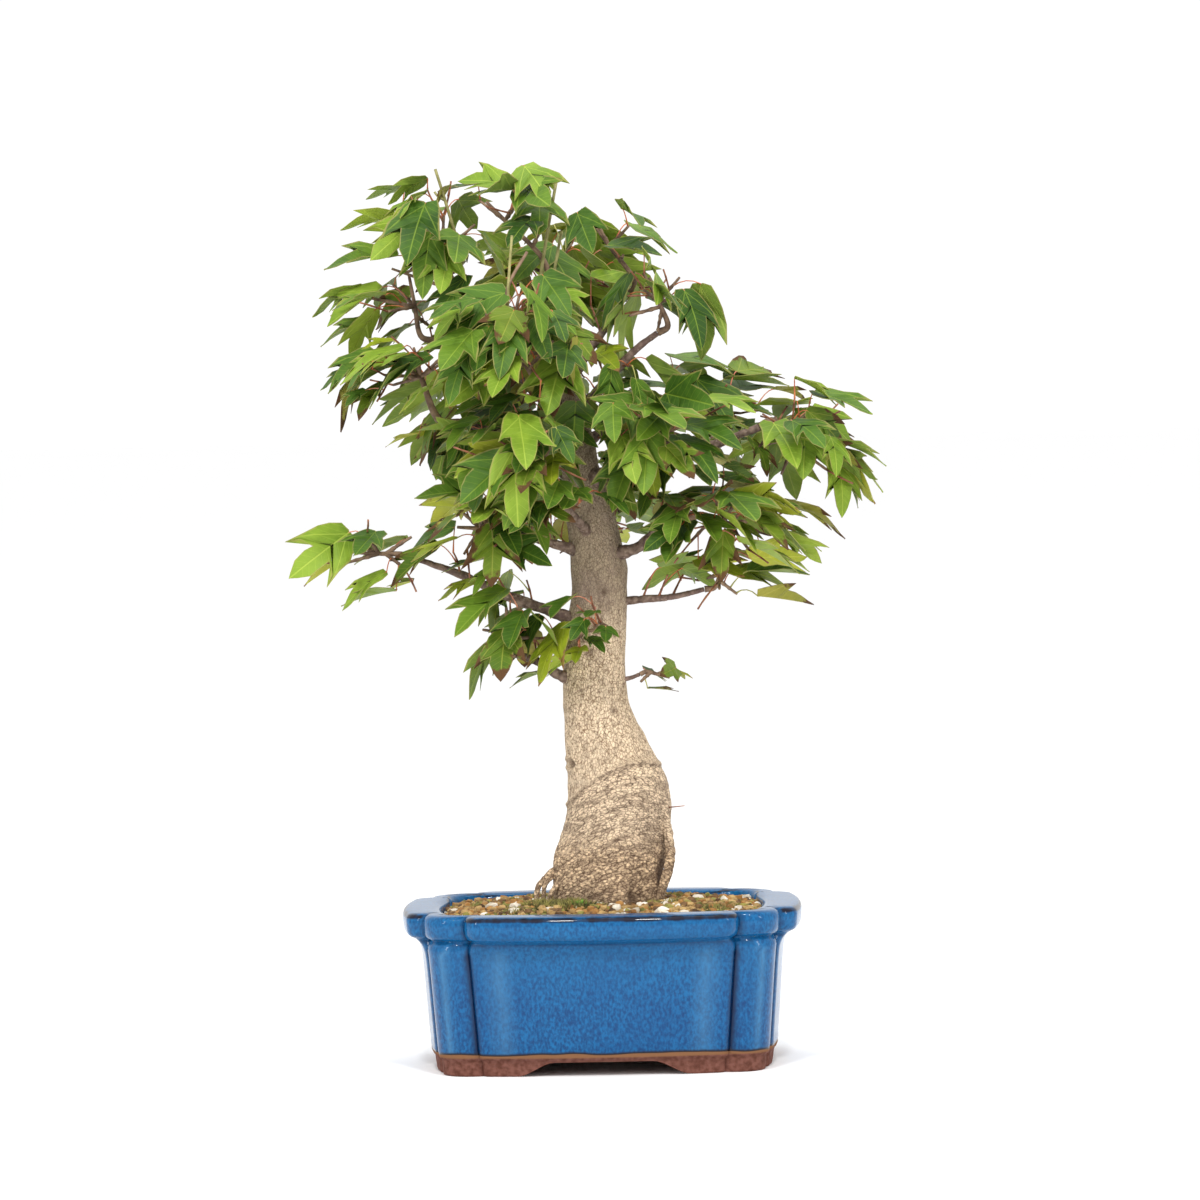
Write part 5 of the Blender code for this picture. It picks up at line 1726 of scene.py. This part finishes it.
def leaf_finish(name, deep, light, vein, scorch, scorch_from):
    """A blade's colour: clouded from leaf to leaf, with paler veins, a pale margin that also paints the
    highlight along its rim, and, when old, brown tips.
    """
    finish = Finish(name, Specular_IOR_Level=0.2)
    blade = finish.node("ShaderNodeTexCoord", {}, {}, "UV")
    across = abs(finish.node("ShaderNodeSeparateXYZ", {}, {"Vector": blade}, "X") - 0.5)
    along = finish.node("ShaderNodeSeparateXYZ", {}, {"Vector": blade}, "Y")
    from_leaf_to_leaf = finish.clouds(24.0, 1.0)
    mottle = finish.clouds(3.0, 4.0)
    colour = finish.mix((from_leaf_to_leaf * 0.75 + mottle * 0.25).ramp(0.36, 0.64), deep, light)
    side_vein = abs(across * VEIN[1] - (along - VEIN_START) * VEIN[0])
    midrib = across.ramp(0.016, 0.004)
    side_line = side_vein.ramp(0.013, 0.003) * along.ramp(0.72, 0.5)
    climb, apart = FINE_VEINS
    fine_line = abs((along - across * climb) % apart - apart / 2).ramp(0.008, 0.002) * 0.35
    veins = midrib.most(side_line * 0.8).most(fine_line)
    colour = finish.mix(veins * 0.55, colour, vein)
    reach = (across * across * 2.2 + (along - 0.36) * (along - 0.36)) ** 0.5
    # A pale margin, which also stands in for the highlight along the blade's rim.
    margin = (finish.attribute("edge") + (mottle - 0.5) * 0.16).ramp(0.90, 0.98)
    colour = finish.mix(margin * 0.55, colour, MARGIN_AND_HIGHLIGHT)
    burnt = (reach + (mottle - 0.5) * 0.7).ramp(scorch_from, scorch_from + 0.10)
    colour = finish.mix(burnt, colour, scorch)
    finish.wear("Base Color", colour)
    finish.wear("Roughness", 0.46 + mottle * 0.16 + burnt * 0.25)
    finish.relief(veins * -0.8 + mottle * 0.5, 0.18)
    return finish.material


BROWN = (0.090, 0.043, 0.016)
RUST = (0.230, 0.125, 0.045)
# Each finish: its name, its darkest and lightest green, its veins, its burnt tips and how near to the
# blade's middle they reach.
LEAF_TOPS = (
    ("deep_green_leaf", (0.020, 0.056, 0.005), (0.058, 0.130, 0.010), (0.200, 0.292, 0.030), BROWN, 0.74),
    ("mid_green_leaf", (0.050, 0.112, 0.008), (0.112, 0.200, 0.016), (0.270, 0.378, 0.042), BROWN, 0.80),
    ("fresh_green_leaf", (0.110, 0.194, 0.012), (0.205, 0.308, 0.027), (0.380, 0.486, 0.066), BROWN, 0.84),
    ("yellowing_leaf", (0.150, 0.211, 0.008), (0.260, 0.313, 0.014), (0.400, 0.454, 0.042), RUST, 0.60),
    ("scorched_leaf", (0.055, 0.108, 0.007), (0.130, 0.194, 0.014), (0.300, 0.324, 0.048), BROWN, 0.42),
)
LEAF_UNDERSIDES = (
    ("deep_green_underside",
     (0.110, 0.173, 0.028), (0.200, 0.284, 0.045), (0.330, 0.410, 0.077), BROWN, 0.74),
    ("mid_green_underside",
     (0.150, 0.226, 0.032), (0.250, 0.347, 0.049), (0.390, 0.462, 0.084), BROWN, 0.80),
    ("fresh_green_underside",
     (0.220, 0.315, 0.032), (0.340, 0.441, 0.052), (0.460, 0.536, 0.091), BROWN, 0.84),
    ("yellowing_underside",
     (0.300, 0.347, 0.028), (0.450, 0.462, 0.049), (0.550, 0.546, 0.091), RUST, 0.62),
    ("scorched_underside",
     (0.200, 0.210, 0.032), (0.330, 0.304, 0.052), (0.450, 0.399, 0.077), BROWN, 0.44),
)
leaf_materials = [leaf_finish(*kind) for kind in (*LEAF_TOPS, *LEAF_UNDERSIDES)]


def blade_shape(number, bend):
    """One way a blade lies: a sheet drawn out to three lobes, folded and bent, of leaf length 1."""
    fold, sag, droop, twist, wave, lobe, notch = bend
    rows = len(BLADE_ROWS) - 1
    bpy.ops.object.select_all(action="DESELECT")
    bpy.ops.mesh.primitive_grid_add(x_subdivisions=2, y_subdivisions=rows, size=2.0)
    blade = bpy.context.object
    blade.name = f"blade_{number}"
    rng = random.Random(number)
    edge = []
    for vertex in blade.data.vertices:
        row = round((vertex.co.y + 1.0) / 2.0 * rows)
        way = round(vertex.co.x)
        rib, rim_x, rim_y = BLADE_ROWS[row]
        if row in LOBE_ROWS:
            rim_x, rim_y = rim_x * lobe, rim_y - LOBE_SHIFT * (1.0 - lobe)
        elif row in NOTCH_ROWS:
            rim_x *= notch
        uneven = rng.uniform(-BLADE_UNEVENNESS, BLADE_UNEVENNESS) if 0 < row < rows else 0.0
        x = way * (rim_x + uneven) * BLADE_SLIMNESS
        y = rim_y - uneven if way else rib
        z = fold * abs(x) - sag * y * y - droop * abs(x) ** 2 + twist * x * y
        z += wave * math.sin(BLADE_WAVES[0] * y + BLADE_WAVES[1] * way) * abs(way)
        vertex.co = (x, y, z)
        edge.append(0.0 if way == 0 and 0 < row < rows else 1.0)
    noted(blade, "edge", edge)
    layer = blade.data.uv_layers[0]
    for loop in blade.data.loops:
        spot = blade.data.vertices[loop.vertex_index].co
        layer.uv[loop.index].vector = (spot.x + 0.5, spot.y)
    for material in leaf_materials:
        blade.data.materials.append(material)
    body = blade.modifiers.new("body", "SOLIDIFY")
    body.thickness = BLADE_THICKNESS / USUAL_LENGTH
    body.offset = 0.0
    body.material_offset = len(LEAF_TOPS)
    bpy.ops.object.modifier_apply(modifier=body.name)
    bpy.ops.object.mode_set(mode="EDIT")
    bpy.ops.mesh.select_all(action="SELECT")
    bpy.ops.mesh.remove_doubles(threshold=BLADE_WELD)
    bpy.ops.object.mode_set(mode="OBJECT")
    bpy.ops.object.shade_smooth_by_angle(angle=math.radians(BLADE_EDGE_ANGLE))
    return blade


def tint(name, blade, rng):
    """A leaf's tint: leaves inside and low in the crown turn first, and high ones get lighter greens as
    painted light from above.
    """
    _, centre, radii, *_ = MASSES[name]
    middle = blade_middle(blade)
    low = portion(middle.z / MM, *LOW_CROWN)
    # Leaves high in the crown are dealt lighter greens: painted light from above.
    high = portion(middle.z / MM, *LIT_HIGH_CROWN)
    inner = 1.0 - min(1.0, (middle - place(centre)).length / (sum(radii) / 3 * MM))
    anywhere, if_low, if_inner, if_sprig = TURNING
    turning = anywhere + if_low * low + if_inner * inner + if_sprig * (name == TURNED_SPRIG)
    deep, mid, fresh = GREENS
    weights = (deep - FRESHER_WHERE_LIT * high, mid, fresh + FRESHER_WHERE_LIT * high, turning * YELLOW_SHARE, turning)
    return rng.choices(range(len(LEAF_TOPS)), weights)[0]


def turned_out(blade, rng):
    """A blade's frame turned about its foot: its tip more out of the crown, its face more to the sky."""
    foot = blade.translation
    axis = blade.col[1].xyz.normalized()
    heights = [station[0] * MM for station in TRUNK]
    core = Vector([np.interp(foot.z, heights, [station[i] * MM for station in TRUNK]) for i in (1, 2)])
    outward = (foot.xy - core).normalized()
    swing = rng.uniform(*SWING)
    heading = (axis.xy.normalized() * (1.0 - swing) + outward * swing * OUTWARD_PULL).normalized()
    pitch = math.asin(-axis.z) * (rng.uniform(*PITCH_SHARE) + FRONT_PITCH * max(0.0, -outward.y))
    out = Vector((heading.x * math.cos(pitch), heading.y * math.cos(pitch), -math.sin(pitch)))
    lean = outward * rng.uniform(*FACE_LEAN)
    normal = UP + Vector((lean.x + rng.gauss(0.0, FACE_SPREAD), lean.y + rng.gauss(0.0, FACE_SPREAD), 0.0))
    return blade_frame(foot, out, normal, blade.col[1].length)


def in_box(points):
    """Whether all the points lie inside the model's box."""
    return all(cad_box[0][i] < point[i] < cad_box[1][i] for point in points for i in range(3))


rng = random.Random(TURN_SEED)
solids = [BVHTree.FromPolygons(*leaf_shape(node, blade)) for _, node, blade in all_leaves]
for number, (name, node, blade) in enumerate(all_leaves):
    nearby = [
        solid for other, solid in enumerate(solids)
        if other != number and (all_leaves[other][2].translation - blade.translation).length < NEAR
    ]
    for _ in range(TURN_TRIES):
        turned = turned_out(blade, rng)
        rim = blade_rim(turned)
        solid = BVHTree.FromPolygons(*leaf_shape(node, turned))
        if any(touches_limb(point, limbs, 0.0) for point in rim) or not in_box(rim):
            continue
        if not any(solid.overlap(other) for other in nearby):
            all_leaves[number] = (name, node, turned)
            solids[number] = solid
            break
all_leaves = [leaf for leaf in all_leaves if not in_opening(blade_middle(leaf[2]))]

# Stalks: long, thin and arched, most of them orange red.
rng = random.Random(STALK_SEED)
stalk_lines = []
for _, node, blade in all_leaves:
    foot = blade.translation
    arch = (foot - node).length * rng.uniform(*STALK_ARCH)
    points = [node.lerp(foot, share) + UP * arch * 4 * share * (1 - share) for share in STALK_SHARES]
    points.append(foot + blade.col[1].xyz.normalized() * STALK_OVERLAP)
    stalk_lines.append((points, STALK_RADII, rng.choices(range(3), STALK_TINTS)[0]))
stalks = strands("leaf_stalks", stalk_lines, 6, (
    shoot_finish("orange_red_stalk", (0.360, 0.065, 0.020), (0.580, 0.190, 0.060), 0.5),
    shoot_finish("pink_stalk", (0.420, 0.110, 0.060), (0.620, 0.260, 0.150), 0.5),
    shoot_finish("yellow_green_stalk", (0.260, 0.260, 0.050), (0.460, 0.440, 0.120), 0.5),
))
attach(stalks, "root")

blade_shapes = [blade_shape(number, bend) for number, bend in enumerate(BLADE_BENDS)]
rng = random.Random(TINT_SEED)
leaf_copies = []
for name, _, blade in all_leaves:
    shape = rng.choice(blade_shapes)
    leaf_copies.append(copied(shape, blade, tint(name, blade, rng)))
leaves = joined("leaves", leaf_copies)
for shape in blade_shapes:
    bpy.data.objects.remove(shape)
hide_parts(*MASSES)
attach(leaves, "root")


# The stand: a plain pale floor in an even white room, with small lamps high in front, narrow ones to both
# sides and a broad one above. Places and sizes are in metres, powers in watts.
FLOOR_SIZE = 30.0
ROOM_LIGHT = 1.04
LAMPS = (
    # place, power, width and height
    ((-0.22, -1.19, 1.65), 10.0, (0.12, 0.20)),
    ((0.22, -1.19, 1.65), 10.0, (0.12, 0.20)),
    ((-1.30, -1.35, 0.95), 8.0, (0.12, 1.0)),
    ((1.40, -1.30, 0.85), 7.0, (0.12, 1.0)),
    ((0.1, 0.3, 2.1), 10.0, (1.0, 1.0)),
)
LAMP_AIM = Vector((0.0, 0.0, 0.22))

bpy.ops.object.select_all(action="DESELECT")
bpy.ops.mesh.primitive_plane_add(size=FLOOR_SIZE)
floor = bpy.context.object
floor.name = "floor"
pale = Finish("pale_floor", Base_Color=(0.96, 0.96, 0.96, 1.0), Roughness=0.9)
floor.data.materials.append(pale.material)

for number, (spot, power, size) in enumerate(LAMPS):
    lamp = bpy.data.lights.new(f"lamp_{number}", "AREA")
    lamp.shape = "RECTANGLE"
    lamp.size, lamp.size_y = size
    lamp.energy = power
    stand = bpy.data.objects.new(f"lamp_{number}", lamp)
    bpy.context.scene.collection.objects.link(stand)
    aimed = (LAMP_AIM - Vector(spot)).to_track_quat("-Z", "Y").to_matrix().to_4x4()
    stand.matrix_world = Matrix.Translation(spot) @ aimed

room = bpy.data.worlds.new("room")
room.use_nodes = True
room.node_tree.nodes["Background"].inputs["Color"].default_value = (1.0, 1.0, 1.0, 1.0)
room.node_tree.nodes["Background"].inputs["Strength"].default_value = ROOM_LIGHT
bpy.context.scene.world = room
bpy.context.scene.view_settings.view_transform = "Standard"
